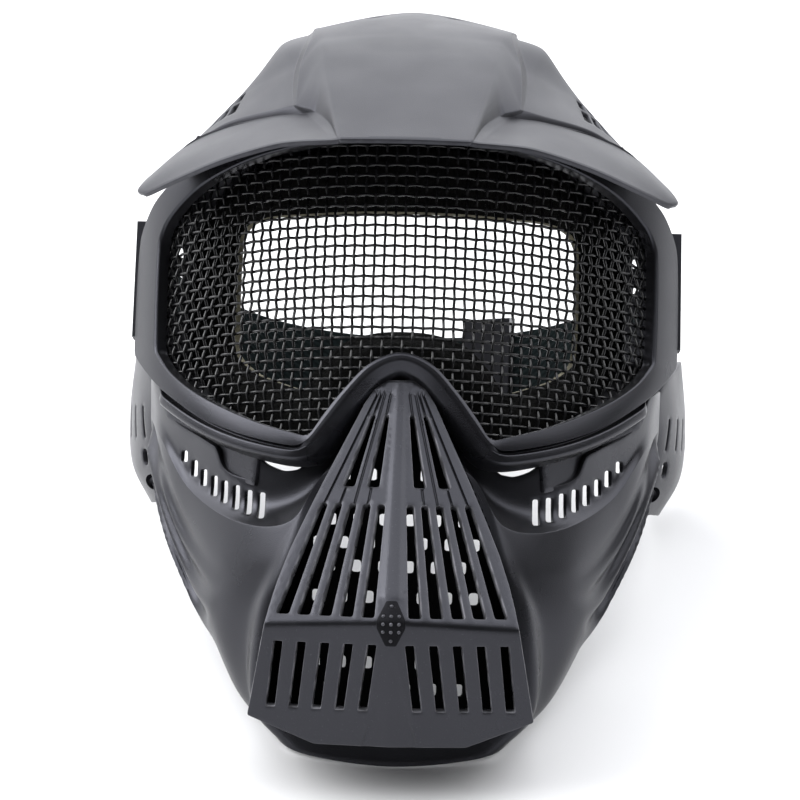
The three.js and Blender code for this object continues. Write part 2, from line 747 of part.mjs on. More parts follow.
// Slider: a flat loop round the strap, to the right of the middle of the back.
const SLIDER = { share: 0.455, length: 20, bar: 2.4, room: 1 };
function slider() {
  const { at, along, up, out } = onStrap(SLIDER.share);
  const frame = new THREE.Matrix4().makeBasis(up, out, along).setPosition(at);
  const rectangle = (w, h) => [[-w, -h], [w, -h], [w, h], [-w, h]].map(([x, z]) => new THREE.Vector2(x, z));
  const [inW, inH] = [STRAP_WIDTH / 2 + SLIDER.room, STRAP_THICKNESS / 2 + SLIDER.room];
  const shape = new THREE.Shape(rectangle(inW + SLIDER.bar, inH + SLIDER.bar));
  shape.holes = [new THREE.Path(rectangle(inW, inH))];
  const drawn = new THREE.ExtrudeGeometry(shape, { depth: SLIDER.length, bevelEnabled: false });
  return drawn.translate(0, 0, -SLIDER.length / 2).applyMatrix4(frame);
}
mask.add(mesh("strap_slider", slider(), { color: 0x8d8f90, roughness: 0.4, metalness: 0 }));

// The whole mask leans back, stands on the floor and is centred over the origin.
const part = new THREE.Group();
part.add(mask);
mask.rotation.x = -THREE.MathUtils.degToRad(REST_LEAN);
part.updateMatrixWorld(true);
const box = new THREE.Box3().setFromObject(part, true);
mask.position.set(-(box.min.x + box.max.x) / 2, -(box.min.y + box.max.y) / 2, -box.min.z);

export default part;
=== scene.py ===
import math

import bpy
import numpy as np
from mathutils import Matrix, Vector
from mathutils.geometry import delaunay_2d_cdt
from mathutils.kdtree import KDTree


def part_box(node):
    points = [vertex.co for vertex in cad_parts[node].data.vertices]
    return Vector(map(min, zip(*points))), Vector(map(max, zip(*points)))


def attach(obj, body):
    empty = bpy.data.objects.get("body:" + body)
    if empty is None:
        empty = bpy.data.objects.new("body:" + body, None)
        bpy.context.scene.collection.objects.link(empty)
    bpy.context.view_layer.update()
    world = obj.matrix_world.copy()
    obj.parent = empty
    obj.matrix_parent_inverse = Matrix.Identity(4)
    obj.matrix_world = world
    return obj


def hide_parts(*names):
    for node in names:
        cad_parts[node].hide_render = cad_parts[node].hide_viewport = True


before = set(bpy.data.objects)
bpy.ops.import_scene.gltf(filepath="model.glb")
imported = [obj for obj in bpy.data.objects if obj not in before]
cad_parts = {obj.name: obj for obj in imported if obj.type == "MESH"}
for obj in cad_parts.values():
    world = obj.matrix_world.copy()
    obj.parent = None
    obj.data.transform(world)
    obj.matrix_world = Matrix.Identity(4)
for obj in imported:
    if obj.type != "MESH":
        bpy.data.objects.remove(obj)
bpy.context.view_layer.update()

# Camera, floor and light
# The mask stands leaned back on a plain white table. It is looked at from 0.9 m in front of its own middle,
# turned and rolled by about a degree, in a bright room with a soft box at each side.
MILLIMETRE = 0.001
REST_LEAN = math.radians(28.4)  # the whole mask leans back by this where it stands
LENS_LEAN = math.radians(10)  # and its goggle leans back a little more
ANCHOR_MIDDLE = (98.5, 64.9, 9.0)  # of the right strap anchor, in the goggle's own frame


def leaned(points, angle):
    """Turns points about the x axis, so that what stood up leans to the back."""
    x, y, z = np.moveaxis(np.asarray(points, float), -1, 0)
    up, back = math.cos(angle), math.sin(angle)
    return np.stack([x, y * up + z * back, z * up - y * back], -1)


anchor_box = np.array([tuple(corner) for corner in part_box("strap_anchor_right")])
LENS_CENTRE = anchor_box.mean(0) - MILLIMETRE * leaned(ANCHOR_MIDDLE, LENS_LEAN + REST_LEAN)


def placed(points):
    """Millimetres in the mask's own frame (x right, y back, z up from the lens centre) to where it stands."""
    return LENS_CENTRE + MILLIMETRE * leaned(points, REST_LEAN)


VIEW = {"distance": 900, "turn": math.radians(1.3), "roll": math.radians(1.45), "x": -0.3, "z": -43.7}
VIEW_WIDTH = 279.2  # what the picture spans at the front of the lens
camera_data = bpy.data.cameras.new("camera")
camera_data.lens = camera_data.sensor_width * VIEW["distance"] / VIEW_WIDTH
camera_data.clip_start = 0.01
camera = bpy.data.objects.new("camera", camera_data)
bpy.context.scene.collection.objects.link(camera)
bpy.context.scene.camera = camera
sideways = np.array([math.cos(VIEW["turn"]), math.sin(VIEW["turn"]), 0])
ahead = np.array([-math.sin(VIEW["turn"]), math.cos(VIEW["turn"]), 0])
upright = np.array([0, 0, 1])
camera_right = sideways * math.cos(VIEW["roll"]) + upright * math.sin(VIEW["roll"])
camera_up = upright * math.cos(VIEW["roll"]) - sideways * math.sin(VIEW["roll"])
eye = sideways * VIEW["x"] - ahead * VIEW["distance"] + upright * VIEW["z"]
axes = [leaned(axis, REST_LEAN) for axis in (camera_right, camera_up, -ahead)]
camera.matrix_world = Matrix.Translation(placed(eye)) @ Matrix(np.array(axes).T.tolist()).to_4x4()


def oblong(x, y, wide, high):
    """The four corners of an oblong about its middle."""
    w, h = wide / 2, high / 2
    return [(x - w, y - h), (x + w, y - h), (x + w, y + h), (x - w, y + h)]


FLOOR_SIZE = 12.0
floor_corners = [(x, y, 0) for x, y in oblong(0, 0, FLOOR_SIZE, FLOOR_SIZE)]
floor_mesh = bpy.data.meshes.new("floor")
floor_mesh.from_pydata(floor_corners, [], [(0, 1, 2, 3)])
floor = bpy.data.objects.new("floor", floor_mesh)
bpy.context.scene.collection.objects.link(floor)
floor_paint = bpy.data.materials.new("white_table")
floor_paint.use_nodes = True
floor_shader = floor_paint.node_tree.nodes["Principled BSDF"]
floor_shader.inputs["Base Color"].default_value = (0.75, 0.75, 0.75, 1)
floor_shader.inputs["Roughness"].default_value = 0.7
floor_shader.inputs["Specular IOR Level"].default_value = 0.2
floor_mesh.materials.append(floor_paint)

bpy.context.scene.view_settings.view_transform = "Standard"


def add_node(tree, kind, sockets=None, **settings):
    """Adds a node. A socket given for an input is linked to it, and a plain value is set on it."""
    made = tree.nodes.new(kind)
    for key, value in settings.items():
        setattr(made, key, value)
    for key, value in (sockets or {}).items():
        if isinstance(value, bpy.types.NodeSocket):
            tree.links.new(value, made.inputs[key])
        else:
            made.inputs[key].default_value = value
    return made


def combined(tree, operation, a, b, **settings):
    """The sum, product or larger of two values."""
    return add_node(tree, "ShaderNodeMath", {0: a, 1: b}, operation=operation, **settings).outputs[0]


def ranged(tree, value, source, target, **settings):
    """A value carried over from one range to another."""
    limits = {"From Min": source[0], "From Max": source[1], "To Min": target[0], "To Max": target[1]}
    return add_node(tree, "ShaderNodeMapRange", {"Value": value, **limits}, **settings).outputs[0]


# The room is bright above and behind the mask, dimmer towards the floor, and dark on the side that the mask
# is looked at from.
BRIGHTEST_WAY = (-0.18, 0.71, 0.68)
world = bpy.data.worlds.new("studio")
world.use_nodes = True
room = world.node_tree
way = add_node(room, "ShaderNodeTexCoord").outputs["Generated"]
facing = add_node(room, "ShaderNodeVectorMath", {0: way, 1: BRIGHTEST_WAY}, operation="DOT_PRODUCT")
glow = ranged(room, facing.outputs["Value"], (0.0, 0.7), (0.08, 2.9), interpolation_type="SMOOTHSTEP")
height = add_node(room, "ShaderNodeSeparateXYZ", {0: way}).outputs["Z"]
low_dim = ranged(room, height, (-0.05, 0.2), (0.5, 1.0))
room.nodes["Background"].inputs["Color"].default_value = (0.96, 0.97, 1.0, 1)
room.links.new(combined(room, "MULTIPLY", glow, low_dim), room.nodes["Background"].inputs["Strength"])
bpy.context.scene.world = world

SOFTBOX_SIZE = 1.0
SOFTBOX_AIM = Vector((0, 0, 0.1))


def softbox(name, place, power):
    """A square lamp of soft light that points at the mask."""
    lamp = bpy.data.lights.new(name, "AREA")
    lamp.shape = "SQUARE"
    lamp.size = SOFTBOX_SIZE
    lamp.energy = power
    made = bpy.data.objects.new(name, lamp)
    made.location = place
    made.rotation_euler = (SOFTBOX_AIM - Vector(place)).to_track_quat("-Z", "Y").to_euler()
    bpy.context.scene.collection.objects.link(made)


softbox("left_softbox", (-1.25, -0.1, 1.05), 17)
softbox("right_softbox", (1.25, -0.1, 1.05), 5)

# Goggle rim
# One moulding in black plastic: a face frame that is bent round the head, with a groove along its lower
# half, a skirt behind it that holds the lens and the foam, and a tab under each eye that hooks the shell.
LENS_RADIUS = 110.0  # bend of the goggle, seen from above
# Half of the rim from the brow to the nose, as (along the bend, up) for each of its three edges.
FOAM_EDGE = [
    (0, 29.3), (30, 29.6), (52, 30), (76, 31), (91, 29.5), (98, 24), (98.8, 6), (98, -12), (95, -19.5),
    (80, -27), (66, -31), (54, -34), (50, -33.5), (44, -27), (31, -18.5), (16, -15), (0, -14.2),
]
LENS_EDGE = [
    (0, 48.2), (30, 47), (56, 43.4), (80, 36.4), (96.5, 27.5), (102, 20), (102.5, 0), (101.4, -21),
    (92, -30.2), (76, -40.2), (54, -50.4), (38.2, -55.7), (31, -57.2), (25.8, -50), (19, -41.2),
    (10.5, -32.2), (0, -28.2),
]
RIM_EDGE = [
    (0, 57), (31, 56), (59, 52.5), (86, 45), (107, 35.5), (117.5, 24), (119.5, 4), (118.5, -20), (99, -34.6),
    (76, -48), (56.4, -56.2), (37, -61), (31, -58.8), (24.9, -51), (18.2, -42.1), (10, -33.3), (0, -29.4),
]
# How far the bend is tightened into a corner at each of those points, from 0 to 1.
CORNER_EASE = np.array([0, 0, 0, 0, 0.35, 0.45, 0, 0.85, 0.2, 0, 0, 0.2, 0.3, 0, 0, 0, 0])
RIM_STATIONS = 150  # on each side


def spans(t, count, ease=0.0):
    """Which of count points shape a smooth curve at t from 0 to 1, and how much each counts. The points have
    one more added before and after. Ease, from 0 to 1, tightens the bend at each point into a corner."""
    place = np.atleast_1d(np.asarray(t, float)) * (count - 1)
    i = np.clip(place.astype(int), 0, count - 2)
    f = place - i
    loose = (1 - np.broadcast_to(ease, count)) / 2
    leave, arrive = f * (1 - f) ** 2 * loose[i], f * f * (f - 1) * loose[i + 1]
    near = 1 + f * f * (2 * f - 3)
    shares = np.stack([-leave, near - arrive, 1 - near + leave, arrive], 1)
    return i[:, None] + np.arange(4), shares


def with_ends(points):
    """Adds a point before and one after, straight on from the ends."""
    return np.concatenate([2 * points[:1] - points[1:2], points, 2 * points[-1:] - points[-2:-1]])


def through(points, t, ease=0.0):
    """The smooth curve through points, read at t from 0 to 1. Points in rows of their own are one curve for
    each t."""
    points = np.asarray(points, float)
    chosen, shares = spans(t, len(points), ease)
    if points.ndim == 2:
        return np.einsum("ka,kad->kd", shares, with_ends(points)[chosen])
    return np.einsum("ka,kad->kd", shares, with_ends(points)[chosen, np.arange(len(chosen))[:, None]])


def bent(s, z, n):
    """On the goggle: s along the bend, z up it and n out of it, leaned back into the mask's frame."""
    turn = np.asarray(s) / LENS_RADIUS
    reach = LENS_RADIUS + np.asarray(n)
    points = np.stack(np.broadcast_arrays(reach * np.sin(turn), LENS_RADIUS - reach * np.cos(turn), z), -1)
    return leaned(points, LENS_LEAN)


def half_loop(edge, t):
    """Half of a rim edge read at t, level where it meets its other half at the brow and the nose."""
    edge = np.array(edge, float)
    whole = np.concatenate([edge[1:2] * (-1, 1), edge, edge[-2:-1] * (-1, 1)])
    steps = len(whole) - 1
    return through(whole, (1 + np.asarray(t) * (steps - 2)) / steps, np.concatenate([[0], CORNER_EASE, [0]]))


def rim_stations():
    """The foam, lens and rim edges at even steps all the way round, as three loops of (s, z), and the place
    of each step among the points of the half that it is on."""
    fine = np.linspace(0, 1, 2000)
    outer = half_loop(RIM_EDGE, fine)
    run = np.concatenate([[0], np.cumsum(np.linalg.norm(np.diff(outer, axis=0), axis=1))])
    t = np.interp(np.linspace(0, run[-1], RIM_STATIONS + 1), run, fine)
    loops = []
    for edge in (FOAM_EDGE, LENS_EDGE, RIM_EDGE):
        half = half_loop(edge, t)
        loops.append(np.concatenate([half, half[-2:0:-1] * (-1, 1)]))
    place = t * (len(RIM_EDGE) - 1)
    return *loops, np.concatenate([place, place[-2:0:-1]])


foam_loop, lens_loop, rim_loop, rim_place = rim_stations()


def across_rim(share):
    """A loop that lies between the lens edge, at 0, and the rim edge, at 1."""
    return lens_loop + (rim_loop - lens_loop) * share


def rounded(corners, radius, steps=4):
    """A closed outline with each corner rounded. Radius is one number or one for each corner."""
    corners = np.asarray(corners, float)
    radius = np.broadcast_to(radius, len(corners))
    outline = []
    for i, corner in enumerate(corners):
        before, after = corners[i - 1] - corner, corners[(i + 1) % len(corners)] - corner
        lengths = np.linalg.norm(before), np.linalg.norm(after)
        reach = min(radius[i], 0.48 * min(lengths))
        a, b = corner + before / lengths[0] * reach, corner + after / lengths[1] * reach
        for f in np.linspace(0, 1, steps + 1):
            outline.append(a * (1 - f) ** 2 + corner * 2 * f * (1 - f) + b * f * f)
    return np.array(outline)


def resampled(outline, step):
    """Adds points to a closed outline, so that none are further apart than step."""
    points = []
    for a, b in zip(outline, np.roll(outline, -1, 0)):
        count = max(1, math.ceil(np.linalg.norm(b - a) / step))
        points.extend(a + (b - a) * k / count for k in range(count))
    return np.array(points)


def inside(points, loop):
    """Which points lie in a closed outline."""
    x, y = points.T
    hits = np.zeros(len(points), bool)
    for (x0, y0), (x1, y1) in zip(loop, np.roll(loop, -1, 0)):
        level = (y0 > y) != (y1 > y)
        hits ^= level & (x < (x1 - x0) * (y - y0) / (y1 - y0 if y1 != y0 else 1) + x0)
    return hits


def slopes(at, uv, step=0.02):
    """How the surface at(uv) runs along u and along v, and the way out of it. u runs right and v down."""
    along_u = (at(uv + (step, 0)) - at(uv - (step, 0))) / (2 * step)
    along_v = (at(uv + (0, step)) - at(uv - (0, step))) / (2 * step)
    out = np.cross(along_v, along_u)
    return along_u, along_v, out / np.linalg.norm(out, axis=1, keepdims=True)


def enclosed(loop):
    """The area inside a closed outline."""
    x, y = loop.T
    return abs(np.sum(x * np.roll(y, -1) - np.roll(x, -1) * y)) / 2


def moved_in(at, loop, distance, grows):
    """A loop on the surface moved sideways over it, away from the edge that it is, by a true distance."""
    along_u, along_v, out = slopes(at, loop)
    points = at(loop)
    aside = np.cross(out, np.roll(points, -1, 0) - np.roll(points, 1, 0))
    aside /= np.linalg.norm(aside, axis=1, keepdims=True) + 1e-12
    uu, uv, vv = (along_u * along_u).sum(1), (along_u * along_v).sum(1), (along_v * along_v).sum(1)
    au, av = (aside * along_u).sum(1), (aside * along_v).sum(1)
    step = np.stack([vv * au - uv * av, uu * av - uv * au], 1) / (uu * vv - uv * uv)[:, None]
    moved = loop + distance * step
    return moved if (enclosed(moved) > enclosed(loop)) == grows else loop - distance * step


def moulded_wall(at, outline, holes=(), spacing=1.4, thickness=2.2, rounding=0.5, extra=()):
    """A closed wall behind the surface at(uv), inside an outline, pierced by holes and rounded at its front
    edges. Extra points sharpen a line on it. Returns its points, its faces and how near each point is to an
    edge."""
    coords, drops, edges, rims = [], [], [], []
    for k, loop in enumerate([outline, *holes]):
        rings = [loop, moved_in(at, loop, 0.3 * rounding, k > 0), moved_in(at, loop, rounding, k > 0)]
        rims.append((rings[0], rings[2]))
        for ring, drop in zip(rings, (1, 0.286, 0)):
            first = sum(map(len, coords))
            edges += [(first + i, first + (i + 1) % len(ring)) for i in range(len(ring))]
            coords.append(ring)
            drops.append(np.full(len(ring), drop * rounding))
    near = KDTree(sum(map(len, coords)) + len(extra))
    if len(extra):
        coords.append(np.asarray(extra, float))
        drops.append(np.zeros(len(extra)))
    for i, point in enumerate(np.concatenate(coords)):
        near.insert((*point, 0), i)
    near.balance()
    low, high = outline.min(0), outline.max(0)
    rows = np.arange(low[1], high[1], spacing * 0.866)
    columns = np.arange(low[0], high[0], spacing)
    fill = np.array([(x + spacing / 2 * (j % 2), y) for j, y in enumerate(rows) for x in columns])
    fill = fill[inside(fill, rims[0][1])]
    for _, ring in rims[1:]:
        close = np.all((fill >= ring.min(0)) & (fill <= ring.max(0)), axis=1)
        hidden = np.zeros(len(fill), bool)
        hidden[close] = inside(fill[close], ring)
        fill = fill[~hidden]
    clear = [near.find((*point, 0))[2] > 0.55 * spacing for point in fill]
    fill = fill[np.array(clear, bool)]
    coords.append(fill)
    drops.append(np.zeros(len(fill)))
    drops = np.concatenate(drops)
    flat = [Vector(point) for point in np.concatenate(coords)]
    made = delaunay_2d_cdt(flat, edges, [], 0, 1e-6)
    uv = np.array([tuple(point) for point in made[0]])
    drop = np.array([max((drops[i] for i in sources), default=0) for sources in made[3]])
    triangles = np.array(made[2])
    middles = uv[triangles].mean(1)
    kept = inside(middles, outline)
    for hole in holes:
        close = kept & np.all((middles >= hole.min(0)) & (middles <= hole.max(0)), axis=1)
        kept[close] &= ~inside(middles[close], hole)
    triangles = triangles[kept][:, ::-1]
    used, triangles = np.unique(triangles, return_inverse=True)
    triangles = triangles.reshape(-1, 3)
    uv, drop = uv[used], drop[used]
    out = slopes(at, uv)[2]
    skin = at(uv)
    count = len(uv)
    points = np.concatenate([skin - out * drop[:, None], skin - out * thickness])
    sides = np.concatenate([triangles[:, [0, 1]], triangles[:, [1, 2]], triangles[:, [2, 0]]])
    known = {tuple(side) for side in sides.tolist()}
    walls = [(a, a + count, b + count, b) for a, b in sides.tolist() if (b, a) not in known]
    faces = triangles.tolist() + (triangles[:, ::-1] + count).tolist() + walls
    worn_and_highlit = np.concatenate([drop / max(rounding, 1e-9), np.zeros(count)])
    return points, faces, worn_and_highlit


def lofted(rings, closed=True):
    """A body skinned over rings of points. An open row of rings is capped at its ends."""
    count, size = rings.shape[:2]
    i, j = np.meshgrid(np.arange(count if closed else count - 1), np.arange(size), indexing="ij")
    a, b = i * size + j, i * size + (j + 1) % size
    c, d = (i + 1) % count * size + (j + 1) % size, (i + 1) % count * size + j
    faces = np.stack([a, b, c, d], -1).reshape(-1, 4)
    points = rings.reshape(-1, 3)
    corners = points[faces]
    volume = np.einsum("ij,ij->", corners[:, 0], np.cross(corners[:, 1], corners[:, 2]))
    volume += np.einsum("ij,ij->", corners[:, 0], np.cross(corners[:, 2], corners[:, 3]))
    caps = [] if closed else [list(range(size))[::-1], list(range((count - 1) * size, count * size))]
    faces = faces.tolist() + caps
    if volume < 0:
        faces = [face[::-1] for face in faces]
    return points, faces, np.zeros(len(points))


def piece(name, bodies, finish, nodes=(), crease=38):
    """Makes one object of closed bodies that are given in the mask's frame, and seats it in the assembly."""
    points, faces, worn_and_highlit, first = [], [], [], 0
    for body_points, body_faces, body_worn in bodies:
        points.append(body_points)
        worn_and_highlit.append(body_worn)
        faces += [[first + i for i in face] for face in body_faces]
        first += len(body_points)
    mesh = bpy.data.meshes.new(name)
    mesh.from_pydata(placed(np.concatenate(points)).tolist(), [], faces)
    mesh.attributes.new("edge", "FLOAT", "POINT").data.foreach_set("value", np.concatenate(worn_and_highlit))
    mesh.polygons.foreach_set("use_smooth", np.ones(len(mesh.polygons), bool))
    mesh.set_sharp_from_angle(angle=math.radians(crease))
    mesh.materials.append(finish)
    made = bpy.data.objects.new(name, mesh)
    bpy.context.scene.collection.objects.link(made)
    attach(made, "root")
    if nodes:
        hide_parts(*nodes)
    return made


def finish_group(name, inputs):
    """A shader node group that puts out the colour, roughness and fine relief of a finish. Returns its tree,
    its input node and its output node."""
    tree = bpy.data.node_groups.new(name, "ShaderNodeTree")
    for label, kind, value in inputs:
        tree.interface.new_socket(label, in_out="INPUT", socket_type=kind).default_value = value
    tree.interface.new_socket("Color", in_out="OUTPUT", socket_type="NodeSocketColor")
    tree.interface.new_socket("Roughness", in_out="OUTPUT", socket_type="NodeSocketFloat")
    tree.interface.new_socket("Height", in_out="OUTPUT", socket_type="NodeSocketFloat")
    return tree, tree.nodes.new("NodeGroupInput"), tree.nodes.new("NodeGroupOutput")


def put_out(tree, result, colour, roughness, height):
    """Links what a finish group has worked out to its outputs."""
    tree.links.new(colour, result.inputs["Color"])
    tree.links.new(roughness, result.inputs["Roughness"])
    tree.links.new(height, result.inputs["Height"])


def noise(tree, place, scale, detail):
    sockets = {"Vector": place, "Scale": scale, "Detail": detail}
    return add_node(tree, "ShaderNodeTexNoise", sockets).outputs[0]


def shaded(tree, colour, share):
    """A colour made lighter or darker by a share that changes over the surface."""
    return add_node(tree, "ShaderNodeVectorMath", {0: colour, "Scale": share}, operation="SCALE").outputs[0]


def moulded_skin_group():
    """Moulded plastic: a fine matte grain, cloudy handling marks, specks of dust, and paler edges, which are
    partly wear and partly painted highlight.
    """
    tree, given, result = finish_group(
        "moulded_skin",
        [
            ("Tone", "NodeSocketColor", (0.03, 0.03, 0.034, 1)),
            ("Rubbed Tone", "NodeSocketColor", (0.2, 0.2, 0.21, 1)),
            ("Rub And Highlight", "NodeSocketFloat", 0.4),
            ("Shine", "NodeSocketFloat", 0.45),
            ("Grain", "NodeSocketFloat", 2600.0),
        ],
    )
    place = add_node(tree, "ShaderNodeTexCoord").outputs["Object"]
    clouds = noise(tree, place, 34.0, 5.0)
    grain = noise(tree, place, given.outputs["Grain"], 2.0)
    nicks = noise(tree, place, 190.0, 3.0)
    specks = noise(tree, place, 1500.0, 1.0)
    edge = add_node(tree, "ShaderNodeAttribute", attribute_name="edge").outputs["Fac"]
    # Edges are mixed towards the paler tone: wear, and painted highlight where that amount is set high.
    rubbed_and_highlit = combined(tree, "MULTIPLY", edge, ranged(tree, nicks, (0.38, 0.6), (0.25, 1.0)))
    rubbed_and_highlit = combined(tree, "MULTIPLY", rubbed_and_highlit, given.outputs["Rub And Highlight"], use_clamp=True)
    dust = ranged(tree, specks, (0.68, 0.76), (0.0, 0.06))
    worn_and_highlit = combined(tree, "MAXIMUM", rubbed_and_highlit, dust)
    tone = shaded(tree, given.outputs["Tone"], ranged(tree, clouds, (0.3, 0.7), (0.88, 1.14)))
    colours = {0: worn_and_highlit, 6: tone, 7: given.outputs["Rubbed Tone"]}
    colour = add_node(tree, "ShaderNodeMix", colours, data_type="RGBA").outputs[2]
    sheen = ranged(tree, clouds, (0.3, 0.7), (-0.05, 0.06))
    roughness = combined(tree, "ADD", given.outputs["Shine"], sheen, use_clamp=True)
    put_out(tree, result, colour, roughness, grain)
    return tree


moulded_skin = moulded_skin_group()


def finish_from(name, group, values, grain_depth, **shader_values):
    """A material whose colour, roughness and fine relief come from a group. Other values are set on its
    shader."""
    material = bpy.data.materials.new(name)
    material.use_nodes = True
    tree = material.node_tree
    shader = tree.nodes["Principled BSDF"]
    source = add_node(tree, "ShaderNodeGroup", node_tree=group)
    for key, value in values.items():
        source.inputs[key].default_value = value
    bump = add_node(tree, "ShaderNodeBump", {"Height": source.outputs["Height"], "Distance": grain_depth})
    tree.links.new(source.outputs["Color"], shader.inputs["Base Color"])
    tree.links.new(source.outputs["Roughness"], shader.inputs["Roughness"])
    tree.links.new(bump.outputs["Normal"], shader.inputs["Normal"])
    for key, value in shader_values.items():
        shader.inputs[key.replace("_", " ")].default_value = value
    return material


PLASTIC_GRAIN = 0.00006


def black_plastic(name, tone=0.006, shine=0.37, rub_and_highlight=0.2, rubbed_and_highlit=0.12, gloss=0.5):
    """Black moulding plastic, a little blue where it shines."""
    return finish_from(
        name,
        moulded_skin,
        {
            "Tone": (tone, tone, tone * 1.12, 1),
            "Rubbed Tone": (rubbed_and_highlit, rubbed_and_highlit, rubbed_and_highlit * 1.08, 1),
            "Rub And Highlight": rub_and_highlight,
            "Shine": shine,
        },
        PLASTIC_GRAIN,
        Specular_IOR_Level=gloss,
        Specular_Tint=(0.86, 0.87, 1.0, 1),
    )


# The section across the rim's face, as (share of its width, out of the bend, rounding).
RIM_WIDTH = 13.0
RIM_FACE = [(0, -1, 0.2), (0, 3.0, 0.3), (0.05, 3.7, 0.5), (0.97, 4.0, 0.35)]
# The groove and the bead along its lower edge, as (how far past the face, how far out of the bend along the
# bead, where it dies away, and over the nose).
BEAD = [
    (0.15, 1.2, 2.4, 4.0), (0.9, 1.1, 2.0, 4.0), (1.4, 4.5, 1.6, 3.8), (4.2, 4.3, 1.2, 1.6),
    (5.1, 3.0, 0.8, 0.0), (6.6, -2.2, -1.0, -3.5), (5.6, -2.6, -1.0, -3.7),
]
BEAD_ROUNDING = [0.3, 0.3, 0.6, 0.8, 0.7, 0.4, 0.2]
BEAD_START = (7.95, 8.25)  # where it rises, in points of the half rim
BEAD_NOSE = (11.0, 11.9)  # and where it turns into the roll over the nose
NOSE_WIDENING = 1.25  # width of the roll over the nose, in widths of the bead
BEAD_LEAST = 0.03  # what is left of its width where it dies away


def eased(x, start, end):
    """Rises smoothly from 0 at start to 1 at end."""
    f = np.clip((x - start) / (end - start), 0, 1)
    return f * f * (3 - 2 * f)


def rim_frame():
    """The face of the rim all the way round, with its bead and the roll over the nose."""
    radii = [radius for _, _, radius in RIM_FACE] + BEAD_ROUNDING
    face = [(share * RIM_WIDTH, n) for share, n, _ in RIM_FACE]
    full = rounded(face + [(RIM_WIDTH + past, n) for past, n, _, _ in BEAD], radii)
    bare = rounded(face + [(RIM_WIDTH + past * BEAD_LEAST, n) for past, _, n, _ in BEAD], radii)
    nose = rounded(face + [(RIM_WIDTH + past * NOSE_WIDENING, n) for past, _, _, n in BEAD], radii)
    rise = eased(rim_place, *BEAD_START)
    turn = eased(rim_place, *BEAD_NOSE)
    along = np.roll(rim_loop, -1, 0) - np.roll(rim_loop, 1, 0)
    away = along[:, ::-1] * (-1, 1)
    away *= (np.sign(((rim_loop - lens_loop) * away).sum(1)) / np.linalg.norm(away, axis=1))[:, None]
    rings = []
    for sections in zip(bare, full, nose):
        across, n = np.array(sections).T
        within, past = np.minimum(across, RIM_WIDTH), np.maximum(across - RIM_WIDTH, 0)
        share, beyond, n = (a[0] + (a[1] - a[0]) * rise + (a[2] - a[1]) * turn for a in (within, past, n))
        rings.append(bent(*(across_rim(share[:, None] / RIM_WIDTH) + away * beyond[:, None]).T, n))
    return lofted(np.stack(rings, 1))


# The skirt behind the frame, with vent slots through it along the brow and at each temple.
SKIRT_DEPTH = 20.0
SKIRT_FRONT = 1.0  # how far it starts behind the bend
SKIRT_SHARE = 0.86  # of the rim's width
SKIRT_THICKNESS = 2.0
TEMPLE = 100.0  # how far along the bend a temple starts
BROW_VENT = {"count": 12, "pitch": 9.0, "long": 6.0, "deep": 4.0, "n": -12.0}
TEMPLE_VENT = {"z": (19.0, 9.0, -1.0), "high": 3.6, "deep": 3.0, "n": -12.0}


def rim_skirt():
    """The skirt as a wall drawn in (along the rim, out of the bend)."""
    line = across_rim(SKIRT_SHARE)
    line = np.concatenate([line, line[:1]])
    run = np.concatenate([[0], np.cumsum(np.linalg.norm(np.diff(line, axis=0), axis=1))])
    whole = run[-1]

    def at(uv):
        u = np.mod(uv[:, 0], whole)
        return bent(np.interp(u, run, line[:, 0]), np.interp(u, run, line[:, 1]), uv[:, 1])

    def slot(u, n, wide, deep):
        return rounded(oblong(u, n, wide, deep), 1.2, 3)

    holes = []
    for i in range(BROW_VENT["count"]):
        u = (i - (BROW_VENT["count"] - 1) / 2) * BROW_VENT["pitch"] % whole
        holes.append(slot(u, BROW_VENT["n"], BROW_VENT["long"], BROW_VENT["deep"]))
    half = len(line) // 2
    for z in TEMPLE_VENT["z"]:
        right = np.flatnonzero((line[:half, 0] > TEMPLE) & (line[:half, 1] > z))[-1]
        for u in (run[right], whole - run[right]):
            holes.append(slot(u, TEMPLE_VENT["n"], TEMPLE_VENT["high"], TEMPLE_VENT["deep"]))
    corners = [(0, -SKIRT_DEPTH), (whole, -SKIRT_DEPTH), (whole, -SKIRT_FRONT), (0, -SKIRT_FRONT)]
    outline = resampled(np.array(corners), 2.5)
    return moulded_wall(at, outline, holes, spacing=3.0, thickness=SKIRT_THICKNESS, rounding=0.4)


# The tab under each eye, drawn from the front in (x, z): its lower edge, which the shell's edge is stepped to
# meet, then its upper edge behind the bead.
TAB_EDGE = [(87, -50), (72.4, -58.8), (65.9, -62.1), (63.6, -68.8), (60.8, -71), (51, -73.4), (50, -65)]
TAB_TOP = [(49, -54), (72, -46), (88, -40)]
TAB_LAP = 2.0  # how far it reaches behind the shell's edge
TAB_PLANE = (12.8, 1.0, 57.0)  # how far back it lies, how steeply it runs back outwards, and at which x
TAB_WALL = 2.2


def rim_tab(side):
    def at(uv):
        x, down = uv.T
        start, slope, middle = TAB_PLANE
        return np.stack([x, start + slope * (np.abs(x) - middle), -down], 1)

    corners = [(side * x, -z + TAB_LAP) for x, z in TAB_EDGE] + [(side * x, -z) for x, z in TAB_TOP]
    outline = resampled(rounded(corners, 1.0), 1.5)
    return moulded_wall(at, outline, spacing=1.5, thickness=TAB_WALL, rounding=0.5)


rim_plastic = black_plastic("rim_plastic", shine=0.29, rub_and_highlight=0.25)
rim_bodies = [rim_frame(), rim_skirt(), rim_tab(-1), rim_tab(1)]
piece("rim_moulding", rim_bodies, rim_plastic, ["goggle_rim"])

